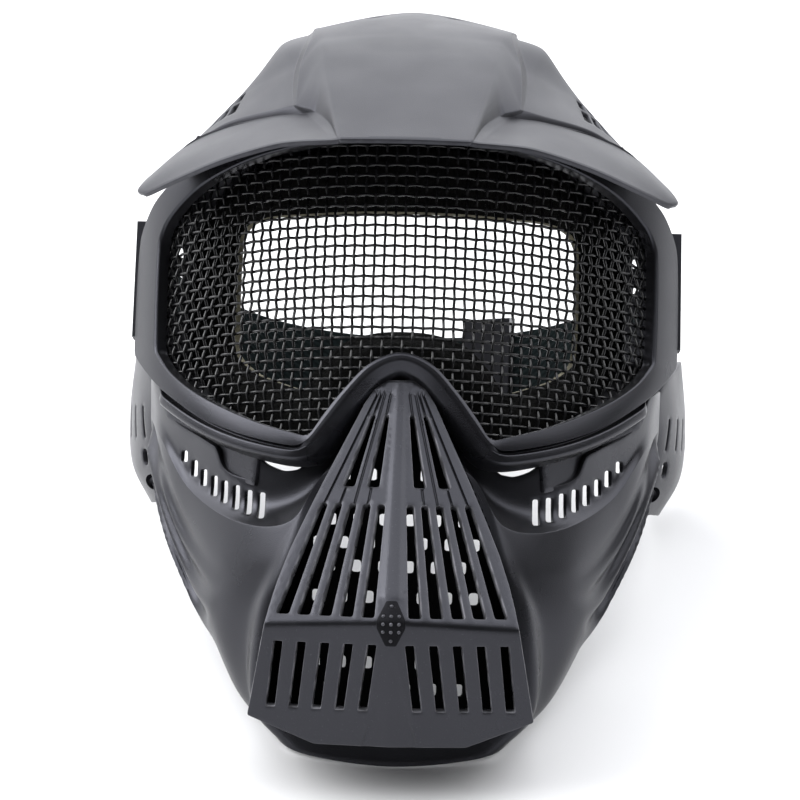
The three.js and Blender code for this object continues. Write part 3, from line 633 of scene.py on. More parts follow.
# Wire lens
# A sheet of plain woven steel wire cloth, painted black and bent into the rim. Each wire passes over and
# under its neighbours, so that both sets are crimped.
WIRE_PITCH = 3.65
WIRE = 1.06  # its thickness
WIRE_LAYER = -2.4  # the middle of the cloth behind the rim's face
WIRE_SIDES = 6
WIRE_STEPS = 3  # to each crossing
WIRE_WANDER = 0.11  # how far a wire strays from its line at most
CLOTH_LAP = 0.3  # how far the cloth reaches behind the rim, as a share of the rim's width
CLOTH_REACH = (62, 112)  # half of its height and of its length, with some to spare
random = np.random.default_rng(7)


def crossings(loop, level, axis):
    """Where the line at a level meets a closed outline, as sorted pairs along the other axis."""
    a, b = loop, np.roll(loop, -1, 0)
    cut = (a[:, axis] > level) != (b[:, axis] > level)
    f = (level - a[cut, axis]) / (b[cut, axis] - a[cut, axis])
    where = np.sort(a[cut, 1 - axis] + f * (b[cut, 1 - axis] - a[cut, 1 - axis]))
    return where.reshape(-1, 2)


def wires():
    """Every wire of the cloth as a body of its own, first those along the bend, then those up it."""
    outline = across_rim(CLOTH_LAP)
    bodies = []
    ring = np.linspace(0, 2 * math.pi, WIRE_SIDES, endpoint=False)
    for axis, reach in zip((1, 0), CLOTH_REACH):
        count = math.floor(reach / WIRE_PITCH)
        for j in range(-count, count + 1):
            phase, swing = random.uniform(0, 2 * math.pi), random.uniform(0.4, 1) * WIRE_WANDER
            for start, end in crossings(outline, j * WIRE_PITCH + 1e-4, axis):
                if end - start < WIRE_PITCH:
                    continue
                steps = math.ceil((end - start) / WIRE_PITCH * WIRE_STEPS)
                run = np.linspace(start, end, steps + 1)
                over = (1 if axis else -1) * (-1) ** j * np.cos(math.pi * run / WIRE_PITCH)
                across = j * WIRE_PITCH + swing * np.sin(run / 7 + phase)
                n = WIRE_LAYER + over * WIRE / 2
                s, z = (run, across) if axis else (across, run)
                line = bent(s, z, n)
                along = np.gradient(line, axis=0)
                along /= np.linalg.norm(along, axis=1, keepdims=True)
                side = bent(s, z, n + 1) - line
                side -= along * (side * along).sum(1, keepdims=True)
                side /= np.linalg.norm(side, axis=1, keepdims=True)
                other = np.cross(along, side)
                turn = side[:, None] * np.cos(ring)[:, None] + other[:, None] * np.sin(ring)[:, None]
                bodies.append(lofted(line[:, None] + turn * WIRE / 2, closed=False))
    return bodies


wire_paint = finish_from(
    "painted_wire",
    moulded_skin,
    {"Tone": (0.005, 0.005, 0.0055, 1), "Rub And Highlight": 0.0, "Shine": 0.22, "Grain": 3500.0},
    0.00001,
)
piece("wire_cloth", wires(), wire_paint, ["mesh_lens"], crease=70)

# Face foam
# A ring of soft black foam, cut from sheet and glued behind the rim's skirt. Its cut edge round the eyes
# shows the tan cloth that the sheet is backed with.
FOAM_WIDTH = 24.0
# Its section, as (share of its width, out of the bend, rounding).
FOAM_SECTION = [
    (0, -31, 0.6), (0.02, -28.4, 0.5), (0.5, -18, 3), (0.8, -17, 0.6), (0.82, -20.3, 0.4), (1, -20.3, 1.5),
    (1, -29, 3), (0.9, -32, 3),
]
FOAM_OUTSIDE = 0.9  # share of the rim's width that it reaches out to
TAN_SHARE = 0.022  # share of the foam's width that the tan edge takes up


def foam_ring():
    """The ring of foam, and the section that it was skinned over."""
    corners = [(share * FOAM_WIDTH, n) for share, n, _ in FOAM_SECTION]
    section = resampled(rounded(corners, [radius for _, _, radius in FOAM_SECTION]), 2.0)
    edge = across_rim(FOAM_OUTSIDE)
    rings = []
    for across, n in section:
        share = across / FOAM_WIDTH
        rings.append(bent(*(foam_loop + (edge - foam_loop) * share).T, n))
    return lofted(np.stack(rings, 1)), section


def foam_group():
    """Open foam: cells of many sizes, painted darker in their pits as shade, over a sooty body."""
    tree, given, result = finish_group(
        "open_foam",
        [("Tone", "NodeSocketColor", (0.02, 0.02, 0.018, 1)), ("Cells", "NodeSocketFloat", 900.0)],
    )
    place = add_node(tree, "ShaderNodeTexCoord").outputs["Object"]
    sockets = {"Vector": place, "Scale": given.outputs["Cells"]}
    cells = add_node(tree, "ShaderNodeTexVoronoi", sockets).outputs[0]
    clouds = noise(tree, place, 120.0, 6.0)
    lightness = ranged(tree, clouds, (0.3, 0.7), (0.6, 1.5))
    pit_shade = ranged(tree, cells, (0.0, 0.6), (0.5, 1.0))
    tone = shaded(tree, given.outputs["Tone"], combined(tree, "MULTIPLY", lightness, pit_shade))
    put_out(tree, result, tone, ranged(tree, clouds, (0.0, 1.0), (0.85, 1.0)), cells)
    return tree


open_foam = foam_group()
foam_tone = {"Tone": (0.006, 0.006, 0.0055, 1)}
foam_finish = finish_from("black_foam", open_foam, foam_tone, 0.0004, Specular_IOR_Level=0.08)
cloth_tone = {"Tone": (0.24, 0.22, 0.15, 1), "Cells": 2200.0}
cloth_edge = finish_from("tan_backing", open_foam, cloth_tone, 0.0002)
foam_body, foam_section = foam_ring()
foam = piece("foam_cushion", [foam_body], foam_finish, ["face_foam"], crease=70)
foam.data.materials.append(cloth_edge)
tan = foam_section[:, 0] < TAN_SHARE * FOAM_WIDTH
for face in foam.data.polygons:
    if all(tan[i % len(foam_section)] for i in face.vertices):
        face.material_index = 1

# Strap anchors
# A flat block of moulded plastic at each side of the rim, with a slot at its rear and a thin bar that the
# strap is folded round. The solids are right as they are and only have their edges broken.
anchor_plastic = black_plastic("anchor_plastic", tone=0.007, shine=0.36, rub_and_highlight=0.2)


def dressed(node, finish, width):
    """Keeps a solid of the frame, with its edges rounded and a finish of its own."""
    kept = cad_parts[node]
    kept.data.materials.clear()
    kept.data.materials.append(finish)
    bevel = kept.modifiers.new("broken_edges", "BEVEL")
    bevel.width = width * MILLIMETRE
    bevel.segments = 3
    bevel.limit_method = "ANGLE"
    bevel.angle_limit = math.radians(30)
    for face in kept.data.polygons:
        face.use_smooth = False


for node in ("strap_anchor_left", "strap_anchor_right"):
    dressed(node, anchor_plastic, 0.6)

# Face shell
# The lower half of the mask, one thin moulding in black plastic from ear to ear. A hollow with slots runs
# under each eye, swept folds run along the cheeks, and small vents lie behind the snout.
SHELL_WALL = 1.6
SHELL_ACROSS, SHELL_DOWN = 330.0, 110.0
# Sections from the middle of the face to the ear. Each one runs from the upper edge over the floor and the
# lip of the hollow, the cheek, its ridge and the side below it to the edge of the jaw.
SHELL_HALF = np.array([
    [(0, 7, -42), (0, 2, -55), (0, -3, -64), (0, -11, -96), (0, -15, -119), (0, -16, -150),
     (0, -15.5, -169.6)],
    [(10, 6, -47), (16, 1, -58), (24, -8, -68.5), (33, -13.5, -98), (41, -12, -119), (44, -8, -150),
     (31, -11, -166.5)],
    [(31, 3, -62), (33, 1.5, -78), (37, -9.5, -86.5), (45, -7.5, -102), (52, -2, -122), (50.5, 1.5, -149),
     (42, -1, -161)],
    [(57, 9.5, -57), (56, 11.5, -80), (56.5, 5.5, -88), (62, 8, -104), (65, 11.5, -122), (58, 13, -144),
     (53, 15, -151)],
    [(79, 31.5, -47), (77, 33.5, -69), (76, 29, -78), (77.5, 31.5, -93), (74, 33, -112), (69, 34, -126),
     (66, 35, -131)],
    [(91.5, 50, -40), (89.5, 49, -53), (89, 47, -60), (89, 49, -76), (84.5, 48, -95), (79, 46, -108),
     (76, 45, -114)],
    [(95.5, 66, -38), (95.5, 68, -47), (95.5, 69, -53), (93.5, 70, -68), (89, 67, -85), (85, 63, -96),
     (82, 60, -101)],
], float)
SHELL_ROWS = np.concatenate([SHELL_HALF[:0:-1] * (-1, 1, 1), SHELL_HALF])
LIP_EASE = np.array([0, 0.1, 0.92, 0, 0, 0, 0])  # how far each point of a section is tightened into an edge
# Folds, from the ear to the front: where each crest starts between the upper edge and the jaw, how it falls
# and lifts again on its way, how near to the middle of the face it ends, and its height.
FOLDS = [
    {"start": 0.42, "fall": 1.0, "lift": 0.74, "end": 0.5, "height": 2.6},
    {"start": 0.36, "fall": 0.75, "lift": 0.5, "end": 0.46, "height": 2.0},
    {"start": 0.4, "fall": 0.35, "lift": 0.2, "end": 0.48, "height": 1.3},
]
FOLD_WIDTH = 0.03
FOLD_GROOVE = (0.6, 1.7)  # the groove above a crest: its depth in fold heights, its distance in fold widths
FOLD_FADE = (0.2, 0.08)  # how far a fold takes to rise at its front end and at the ear


def surface(rows, row_place, column_place, row_ease=0.0, column_ease=0.0):
    """The surface through rows of sections, read between the rows and along them."""
    whole = with_ends(np.moveaxis(with_ends(rows), 1, 0))
    row, row_shares = spans(row_place, rows.shape[0], row_ease)
    column, column_shares = spans(column_place, rows.shape[1], column_ease)
    near = whole[column[:, :, None], row[:, None, :]]
    return np.einsum("ka,kb,kabd->kd", column_shares, row_shares, near)


def bare_shell(uv):
    """The shell without its folds."""
    u, v = uv[:, 0] / SHELL_ACROSS, uv[:, 1] / SHELL_DOWN
    return surface(SHELL_ROWS, u, v, column_ease=LIP_EASE)


def on_shell(uv):
    """The shell's outside, at uv across the face from ear to ear and down it."""
    outward, v = np.abs(2 * uv[:, 0] / SHELL_ACROSS - 1), uv[:, 1] / SHELL_DOWN
    depth, distance = FOLD_GROOVE
    swell = np.zeros(len(uv))
    for fold in FOLDS:
        way = np.clip((1 - outward) / (1 - fold["end"]), 0, 1)
        aside = (v - fold["start"] - fold["fall"] * way + fold["lift"] * way * way) / FOLD_WIDTH
        shape = np.exp(-(aside**2)) - depth * np.exp(-((aside + distance) ** 2))
        front = eased(outward, fold["end"], fold["end"] + FOLD_FADE[0])
        swell += fold["height"] * front * eased(1 - outward, 0, FOLD_FADE[1]) * shape
    return bare_shell(uv) + slopes(bare_shell, uv)[2] * swell[:, None]


def found(at, loops, axes, low, high):
    """Loops drawn along two axes, found on the surface at(uv) between the corners low and high."""
    u, v = np.linspace(low[0], high[0], 60), np.linspace(low[1], high[1], 60)
    grid = np.stack(np.meshgrid(u, v), -1).reshape(-1, 2)
    seen = at(grid)[:, axes]
    targets = np.concatenate(loops)
    uv = np.array([grid[np.argmin(((seen - target) ** 2).sum(1))] for target in targets])
    for _ in range(12):
        along_u, along_v, _ = slopes(at, uv)
        miss_x, miss_z = (targets - at(uv)[:, axes]).T
        (ux, uz), (vx, vz) = along_u[:, axes].T, along_v[:, axes].T
        step = np.stack([miss_x * vz - miss_z * vx, ux * miss_z - uz * miss_x])
        uv = uv + np.clip(step / (ux * vz - uz * vx), -3, 3).T
    return np.split(uv, np.cumsum([len(loop) for loop in loops])[:-1])


# Vents behind the snout, in staggered rows of (z, count).
MOUTH_ROWS = [(-69.5, 5), (-85, 6), (-93, 7), (-101, 6), (-111.5, 7), (-125, 6), (-134, 7), (-143, 6)]
MOUTH_PITCH = 9.0
MOUTH_VENT = (3.2, 4.2)
MOUTH_AREA = ((120, 10), (210, 100))  # corners of the part of the shell that they lie in
# Slots along the floor of the hollow, from the ear to the nose, in (x, top z, bottom z).
CHEEK_SLOTS = [
    (79, -64.1, -68.1), (74.8, -67.4, -73.1), (70.9, -70.5, -76.3), (66.6, -72.5, -79.6),
    (62.5, -74, -81.8), (57.9, -75.4, -83.7), (53.2, -76.9, -85.1), (48.4, -77.5, -86.2),
]
CHEEK_SLOT_WIDTH = 2.5
CHEEK_AREA = ((190, 0), (310, 45))
# Past the rim's tab the upper edge dips and leaves a narrow gap, then rises to the nose.
NOSE_GAP = [(46.5, -67.8), (40.5, -69.8), (35, -68.8), (31, -64)]
STEP_AREA = ((180, 0), (310, 45))
STEP_ENDS = (TAB_EDGE[0][0] + 3, NOSE_GAP[-1][0] - 2)  # the x at which that step leaves and meets the edge
XZ, YZ, XY = [0, 2], [1, 2], [0, 1]


def box_slot(x, z, wide, high, radius):
    """The outline of a slot with rounded corners, drawn flat about its middle."""
    return resampled(rounded(oblong(x, z, wide, high), radius), 1.0)


def round_hole(x, z, diameter, sides=16):
    turn = np.linspace(0, 2 * math.pi, sides, endpoint=False)
    return np.stack([x + diameter / 2 * np.cos(turn), z + diameter / 2 * np.sin(turn)], 1)


def mirrored(uv, whole):
    """The same loop on the other half of a surface that is this much across."""
    return (uv * (-1, 1) + (whole, 0))[::-1]


def shell_outline():
    top = np.stack([np.linspace(SHELL_ACROSS / 2, SHELL_ACROSS, 300), np.zeros(300)], 1)
    outer, inner = np.interp(STEP_ENDS, on_shell(top)[:, 0], top[:, 0])
    step = found(on_shell, [np.array(TAB_EDGE + NOSE_GAP, float)], XZ, *STEP_AREA)[0]
    half = np.array([(inner, 0), *step[::-1], (outer, 0), (SHELL_ACROSS, 0), (SHELL_ACROSS, SHELL_DOWN)])
    whole = np.concatenate([half, mirrored(half, SHELL_ACROSS)])
    return resampled(rounded(whole, 1.6), 1.5)


def shell_holes():
    vents, slots = [], []
    for z, count in MOUTH_ROWS:
        for i in range(count):
            vents.append(box_slot((i - (count - 1) / 2) * MOUTH_PITCH, z, *MOUTH_VENT, 1.2))
    for x, top, bottom in CHEEK_SLOTS:
        slots.append(box_slot(x, (top + bottom) / 2, CHEEK_SLOT_WIDTH, top - bottom, 0.8))
    vents = found(on_shell, vents, XZ, *MOUTH_AREA)
    slots = found(on_shell, slots, XZ, *CHEEK_AREA)
    return vents + slots + [mirrored(slot, SHELL_ACROSS) for slot in slots]


shell_plastic = black_plastic("shell_plastic", shine=0.31, rub_and_highlight=0.12)
# Three lines of points along the lip of the hollow keep it crisp.
lip_places = np.linspace(8, SHELL_ACROSS - 8, 300)
lip_marks = [(u, SHELL_DOWN / 3 + step) for u in lip_places for step in (-0.7, 0, 0.7)]
shell_wall = moulded_wall(
    on_shell,
    shell_outline(),
    shell_holes(),
    spacing=1.5,
    thickness=SHELL_WALL,
    rounding=0.45,
    extra=lip_marks,
)
shell = piece("shell_moulding", [shell_wall], shell_plastic, ["face_shell"])

# Ear guards and their rivets
# A bulged plastic cup over each ear, with slanted louvres and one hole, riveted by its flange to the inside
# of the shell's rear edge. The rivets have low domed heads.
GUARD_ALONG, GUARD_DOWN = 95.0, 55.0
GUARD_WALL = 2.0
# The flange: where it lies across and down the shell, how far inside, and how far on the cup starts.
FLANGE = {"from": 0.945, "to": 0.99, "top": 0.42, "bottom": 0.8, "set": 3.1, "root": 6.0}
# Sections of the cup from the flange to the rear, each from its top to its bottom.
GUARD_SECTIONS = np.array([
    [(96.5, 80, -38), (98.5, 83, -56), (97, 83, -72), (92, 80, -86)],
    [(103.5, 98, -30), (106, 101, -52), (105, 101, -71), (97.5, 98, -86)],
    [(107.5, 121, -26), (110, 124, -50), (108.5, 124, -71), (100, 121, -86.5)],
    [(103, 143, -38), (106.5, 147, -53), (105.5, 147, -68), (99, 143, -81)],
], float)
LOUVRES = {"count": 5, "y": 85.5, "pitch": 10.0, "rise": 2.5, "z": -54.5, "length": 12.0, "width": 1.1}
GUARD_HOLE = {"y": 86.5, "z": -68, "wide": 4.0, "high": 6.0}


def flange_line(share):
    """A line down the inside of the shell, where the guard's flange lies, read at even steps."""
    down = np.linspace(FLANGE["top"], FLANGE["bottom"], 40) * SHELL_DOWN
    place = np.stack([np.full(len(down), share * SHELL_ACROSS), down], 1)
    return on_shell(place) - slopes(on_shell, place)[2] * FLANGE["set"]


flange_front, flange_rear = flange_line(FLANGE["from"]), flange_line(FLANGE["to"])
GUARD_LINES = [flange_front, flange_rear, flange_rear + (0, FLANGE["root"], 0), *GUARD_SECTIONS]


def on_guard(uv):
    """The guard's outside, at uv from the flange to the rear and down it."""
    u, v = uv[:, 0] / GUARD_ALONG, uv[:, 1] / GUARD_DOWN
    return through(np.stack([through(line, v) for line in GUARD_LINES]), u)


def guard_wall():
    drawn = []
    half = LOUVRES["width"] / 2
    top, bottom = LOUVRES["z"] + LOUVRES["length"] / 2, LOUVRES["z"] - LOUVRES["length"] / 2
    for i in range(LOUVRES["count"]):
        low = LOUVRES["y"] + i * LOUVRES["pitch"]
        high = low + LOUVRES["rise"]
        corners = [(low - half, bottom), (low + half, bottom), (high + half, top), (high - half, top)]
        drawn.append(resampled(rounded(corners, half), 1.2))
    drawn.append(box_slot(*GUARD_HOLE.values(), 2.4))
    holes = found(on_guard, drawn, YZ, (30, 0), (GUARD_ALONG, GUARD_DOWN))
    corners = [(0, 0), (GUARD_ALONG, 0), (GUARD_ALONG, GUARD_DOWN), (0, GUARD_DOWN)]
    outline = resampled(rounded(corners, [2, 9, 9, 2], 6), 1.5)
    return moulded_wall(on_guard, outline, holes, spacing=1.6, thickness=GUARD_WALL, rounding=0.7)


def reversed_side(body):
    """The same body for the other side of the mask."""
    points, faces, worn_and_highlit = body
    return points * (-1, 1, 1), [face[::-1] for face in faces], worn_and_highlit


RIVET = {"u": 0.968, "v": 0.55, "shank": 1.8, "head": 3.3, "rise": 0.72}
RIVET_SEATS = (0.4, -FLANGE["set"] - GUARD_WALL - 0.5)  # where its two heads lie, out from the shell


def turned(at, place, profile, sides):
    """A body turned about the way out of the surface at(uv), over a profile of (radius, height)."""
    centre, out = at(place)[0], slopes(at, place)[2][0]
    side = np.cross(out, (0, 0, 1))
    side /= np.linalg.norm(side)
    other = np.cross(out, side)
    turn = np.linspace(0, 2 * math.pi, sides, endpoint=False)
    circle = side * np.cos(turn)[:, None] + other * np.sin(turn)[:, None]
    rings = [centre + out * height + radius * circle for radius, height in profile]
    return lofted(np.stack(rings), closed=False)


def rivet():
    place = np.array([(RIVET["u"] * SHELL_ACROSS, RIVET["v"] * SHELL_DOWN)])
    outer, inner = RIVET_SEATS
    dome = np.linspace(0, math.pi / 2, 7)[:-1]
    radii, rises = RIVET["head"] * np.cos(dome), 0.1 + RIVET["rise"] * np.sin(dome)
    tail = list(zip(radii, inner - rises))[::-1]
    shank = [(RIVET["head"], inner), (RIVET["shank"], inner), (RIVET["shank"], outer), (RIVET["head"], outer)]
    return turned(on_shell, place, [*tail, *shank, *zip(radii, outer + rises)], 28)


guard_plastic = black_plastic("guard_plastic", shine=0.33)
right_guard, right_rivet = guard_wall(), rivet()
sides = {
    "left": (reversed_side(right_guard), reversed_side(right_rivet)),
    "right": (right_guard, right_rivet),
}
for side, (guard, pin) in sides.items():
    piece(f"guard_{side}_moulding", [guard], guard_plastic, [f"ear_guard_{side}"])
    piece(f"rivet_{side}_turned", [pin], guard_plastic, [f"ear_rivet_{side}"])

# Snout
# A stiff plastic grille over the mouth, folded along a ridge and down the middle, whose sides reach back to
# the shell. Long slots fan out above the ridge and short ones lie below it. A studded boss sits on the ridge.
SNOUT_WALL = 3.0
UPPER_PANEL = (17.6, 0.254, 0.682)  # how far back, how it slopes back outwards, and upwards
LOWER_PANEL = (-106.1, 0.192, -0.3855)
# Half of the grille's outline from its top to its chin, in (x, z).
SNOUT_EDGE = [
    (4.5, -36.8), (9, -40), (12.3, -45), (18.9, -58.9), (24.5, -70.5), (30.2, -83), (35.2, -94.7),
    (38.5, -104.1), (40.6, -111.8), (42, -118), (48, -150.3), (25.5, -159.2),
]
# Rows of slots: how many, the middle of the first one's top and bottom in (x, z), the steps to the next one,
# and the width and the rounding at the top and at the bottom.
SNOUT_SLOTS = [
    {"count": 2, "top": (4.4, -49.7), "bottom": (8, -71.1), "steps": (4.6, 8.4), "widths": (1.8, 4.2),
     "ends": (0.9, 0.9)},
    {"count": 5, "top": (4.9, -80.2), "bottom": (7.8, -112.7), "steps": (4.85, 7.1), "widths": (2.6, 4.4),
     "ends": (1.1, 0.9)},
    {"count": 5, "top": (6.2, -125.6), "bottom": (9.1, -145.3), "steps": (7.8, 7.75), "widths": (3, 3),
     "ends": (0.5, 0.5)},
]
# Grooves that fan out from the top: where each one starts and ends, out from the middle.
GROOVES = {"top": -42.0, "bottom": -79.0, "lines": [(3.3, 9.4), (5.3, 14), (6.5, 18.9), (7.9, 24.2)]}
GROOVE_HALF = (0.12, 0.5)  # half its width at the floor and at the top
GROOVE_DEPTH = 0.7
MARK_ROOM = 0.65  # what a groove's extra points keep from a slot
RIDGE_ROUNDING = 1.0
MIDDLE_ROUNDING = 0.8
# A strip stands up along the middle above the ridge, and a wedge is sunk in below it.
SPINE = {"top": -45.0, "bottom": -108.0, "half": (1.5, 3.0), "rise": 0.5, "flank": 0.35}
WEDGE = {"top": -124.0, "bottom": -159.0, "half": 9.0, "depth": 0.7, "flank": 0.35}


def on_snout(uv):
    """The front of the grille, at uv of x and the depth below the lens centre."""
    x, z = uv[:, 0], -uv[:, 1]
    side = np.sqrt(x * x + MIDDLE_ROUNDING**2)
    upper, lower = (start + out * side + up * z for start, out, up in (UPPER_PANEL, LOWER_PANEL))
    y = (upper + lower + np.sqrt((upper - lower) ** 2 + RIDGE_ROUNDING**2)) / 2
    down = np.clip((SPINE["top"] - z) / (SPINE["top"] - SPINE["bottom"]), 0, 1)
    half = SPINE["half"][0] + (SPINE["half"][1] - SPINE["half"][0]) * down
    strip = 1 - eased(np.abs(x), half - SPINE["flank"], half + SPINE["flank"])
    y = y - SPINE["rise"] * strip * eased(z, SPINE["bottom"] - 2, SPINE["bottom"])
    fall = np.clip((WEDGE["top"] - z) / (WEDGE["top"] - WEDGE["bottom"]), 0, 1.2)
    half = WEDGE["half"] * fall
    sunk = 1 - eased(np.abs(x), half - WEDGE["flank"], half + WEDGE["flank"])
    y = y + WEDGE["depth"] * fall * sunk
    top, bottom = GROOVES["top"], GROOVES["bottom"]
    fan = np.clip((top - z) / (top - bottom), 0, 1)
    shown = eased(z, bottom - 1, bottom) * (1 - eased(z, top, top + 1))
    for start, end in GROOVES["lines"]:
        aside = np.abs(np.abs(x) - start - (end - start) * fan)
        y = y + GROOVE_DEPTH * shown * (1 - eased(aside, *GROOVE_HALF))
    return np.stack([x, y, z], 1)


def snout_slots():
    holes = []
    for group in SNOUT_SLOTS:
        half_top, half_bottom = (width / 2 for width in group["widths"])
        radii = np.repeat(group["ends"], 2)
        for i in range(group["count"]):
            top, bottom = (group[end][0] + i * step for end, step in zip(("top", "bottom"), group["steps"]))
            high, low = group["top"][1] + half_top, group["bottom"][1] - half_bottom
            corners = [(top - half_top, high), (top + half_top, high), (bottom + half_bottom, low)]
            corners.append((bottom - half_bottom, low))
            slot = resampled(rounded(corners, radii), 1.2) * (1, -1)
            holes += [slot, mirrored(slot, 0)]
    return holes


def snout_marks(slots):
    """Points along the flanks of the spine, the wedge and the grooves, so that their edges are crisp."""
    marks = []
    for share in np.linspace(0.02, 1, 56):
        z = SPINE["top"] + (SPINE["bottom"] - SPINE["top"]) * share
        half = SPINE["half"][0] + (SPINE["half"][1] - SPINE["half"][0]) * share
        marks += [(half + step, -z) for step in (-SPINE["flank"], SPINE["flank"])]
    for share in np.linspace(0.15, 0.96, 30):
        z = WEDGE["top"] + (WEDGE["bottom"] - WEDGE["top"]) * share
        marks += [(WEDGE["half"] * share + step, -z) for step in (-WEDGE["flank"], WEDGE["flank"])]
    for share in np.linspace(0, 1, 40):
        z = GROOVES["top"] + (GROOVES["bottom"] - GROOVES["top"]) * share
        for start, end in GROOVES["lines"]:
            middle = start + (end - start) * share
            marks += [(middle + sign * half, -z) for sign in (-1, 1) for half in GROOVE_HALF]
    marks = np.array(marks)
    edges = np.concatenate([resampled(slot, 0.5) for slot in slots])
    clear = np.array([((edges - mark) ** 2).sum(1).min() > MARK_ROOM**2 for mark in marks])
    return np.concatenate([marks[clear], marks[clear] * (-1, 1)])


def snout_outline():
    right = np.array(SNOUT_EDGE, float)
    whole = np.concatenate([right, right[::-1] * (-1, 1)]) * (1, -1)
    return resampled(rounded(whole, 0.8, 3), 1.2)


# The sides of the snout, which reach back to the shell, or end free above the shell's upper edge.
SIDE_WALL = 2.0
SIDE_INSET = 0.3
FREE_DEPTH = 8.0
FREE_ABOVE = SHELL_HALF[1, 0, 2] - 3
SEAT_AREA = ((110, 0), (220, 110))  # corners of the part of the shell that they meet


def snout_sides():
    line = moved_in(on_snout, snout_outline(), SIDE_INSET, False)[::-1]
    line = np.concatenate([line, line[:1]])
    run = np.concatenate([[0], np.cumsum(np.linalg.norm(np.diff(line, axis=0), axis=1))])
    whole = run[-1]
    front = on_snout(line)
    seat = found(on_shell, [line * (1, -1)], XZ, *SEAT_AREA)[0]
    depth = on_shell(seat)[:, 1] + SHELL_WALL / 2 - front[:, 1]
    depth = np.where(-line[:, 1] > FREE_ABOVE, FREE_DEPTH, np.clip(depth, SNOUT_WALL, 60))

    def at(uv):
        place = np.mod(uv[:, 0], whole)
        x, y, z = (np.interp(place, run, axis) for axis in front.T)
        return np.stack([x, y + uv[:, 1], z], 1)

    rear = np.stack([run, depth], 1)
    edge = np.array([(whole, 1.0), (0, 1.0)])
    outline = resampled(np.concatenate([rear, edge]), 2.0)
    return moulded_wall(at, outline, spacing=2.5, thickness=SIDE_WALL, rounding=0.3)


# The boss: a thin eight-cornered plate over the ridge, with eleven studs.
BOSS = [
    (-1.8, -109.3), (1.8, -109.3), (4.8, -115.5), (4.8, -118.2), (1.8, -124.3), (-1.8, -124.3),
    (-4.8, -118.2), (-4.8, -115.5),
]
BOSS_RISE = 1.0
STUD = {"radius": 0.62, "rise": 0.55, "sunk": 0.1, "pitch": 2.6, "paler": 0.8}
STUD_ROWS = [(-111, 1), (-114.2, 3), (-116.8, 3), (-119.4, 3), (-122.4, 1)]


def on_boss(uv):
    return on_snout(uv) - (0, BOSS_RISE, 0)


def studs():
    """Eleven low domes, paler all over."""
    lift = np.linspace(0, math.pi / 2 * 0.92, 5)
    dome = list(zip(STUD["radius"] * np.cos(lift), STUD["rise"] * np.sin(lift) - STUD["sunk"]))
    bodies = []
    for z, count in STUD_ROWS:
        for i in range(count):
            place = np.array([((i - (count - 1) / 2) * STUD["pitch"], -z)])
            points, faces, worn_and_highlit = turned(on_boss, place, dome, 14)
            bodies.append((points, faces, worn_and_highlit + STUD["paler"]))
    return bodies


# The grille's edges are painted much paler: partly wear, and partly painted highlight along the ribs and
# panel edges.
snout_plastic = black_plastic("snout_plastic", shine=0.3, rub_and_highlight=1.0, rubbed_and_highlit=0.3)
slots = snout_slots()
grille = moulded_wall(
    on_snout,
    snout_outline(),
    slots,
    spacing=1.3,
    thickness=SNOUT_WALL,
    rounding=0.35,
    extra=snout_marks(slots),
)
piece("snout_moulding", [grille, snout_sides()], snout_plastic, ["snout_grille"])
boss_plastic = black_plastic("boss_plastic", tone=0.004, shine=0.6, rub_and_highlight=0.0, gloss=0.12)
boss_outline = resampled(rounded(np.array(BOSS) * (1, -1), 0.6, 3), 0.8)
boss_wall = moulded_wall(on_boss, boss_outline, spacing=0.9, thickness=BOSS_RISE, rounding=0.3)
piece("snout_boss", [boss_wall], boss_plastic)
stud_plastic = black_plastic("stud_plastic", tone=0.02, shine=0.3, rub_and_highlight=0.6)
piece("snout_studs", studs(), stud_plastic)

# The shell behind the grille gets a darker, duller copy of its plastic: painted shade for the shadow that the
# grille casts on it.
painted_shade_plastic = black_plastic("painted_shade_plastic", tone=0.002, shine=0.85, rub_and_highlight=0.0, gloss=0.1)
shell.data.materials.append(painted_shade_plastic)
behind = np.array([shell_wall[0][list(face)].mean(0) for face in shell_wall[1]])
hidden = inside(behind[:, [0, 2]] * (1, -1), snout_outline())
shell.data.polygons.foreach_set("material_index", hidden.astype(np.int32))

# Visor and crown
# One long moulding in black plastic, snapped on over the goggle: a brim with drooping ends, a broad hump that
# rises from the middle of its edge, and behind them the crown, with vents at the top and sides.
VISOR_WALL = 1.7
VISOR_HALF, VISOR_LONG = 130.0, 190.0
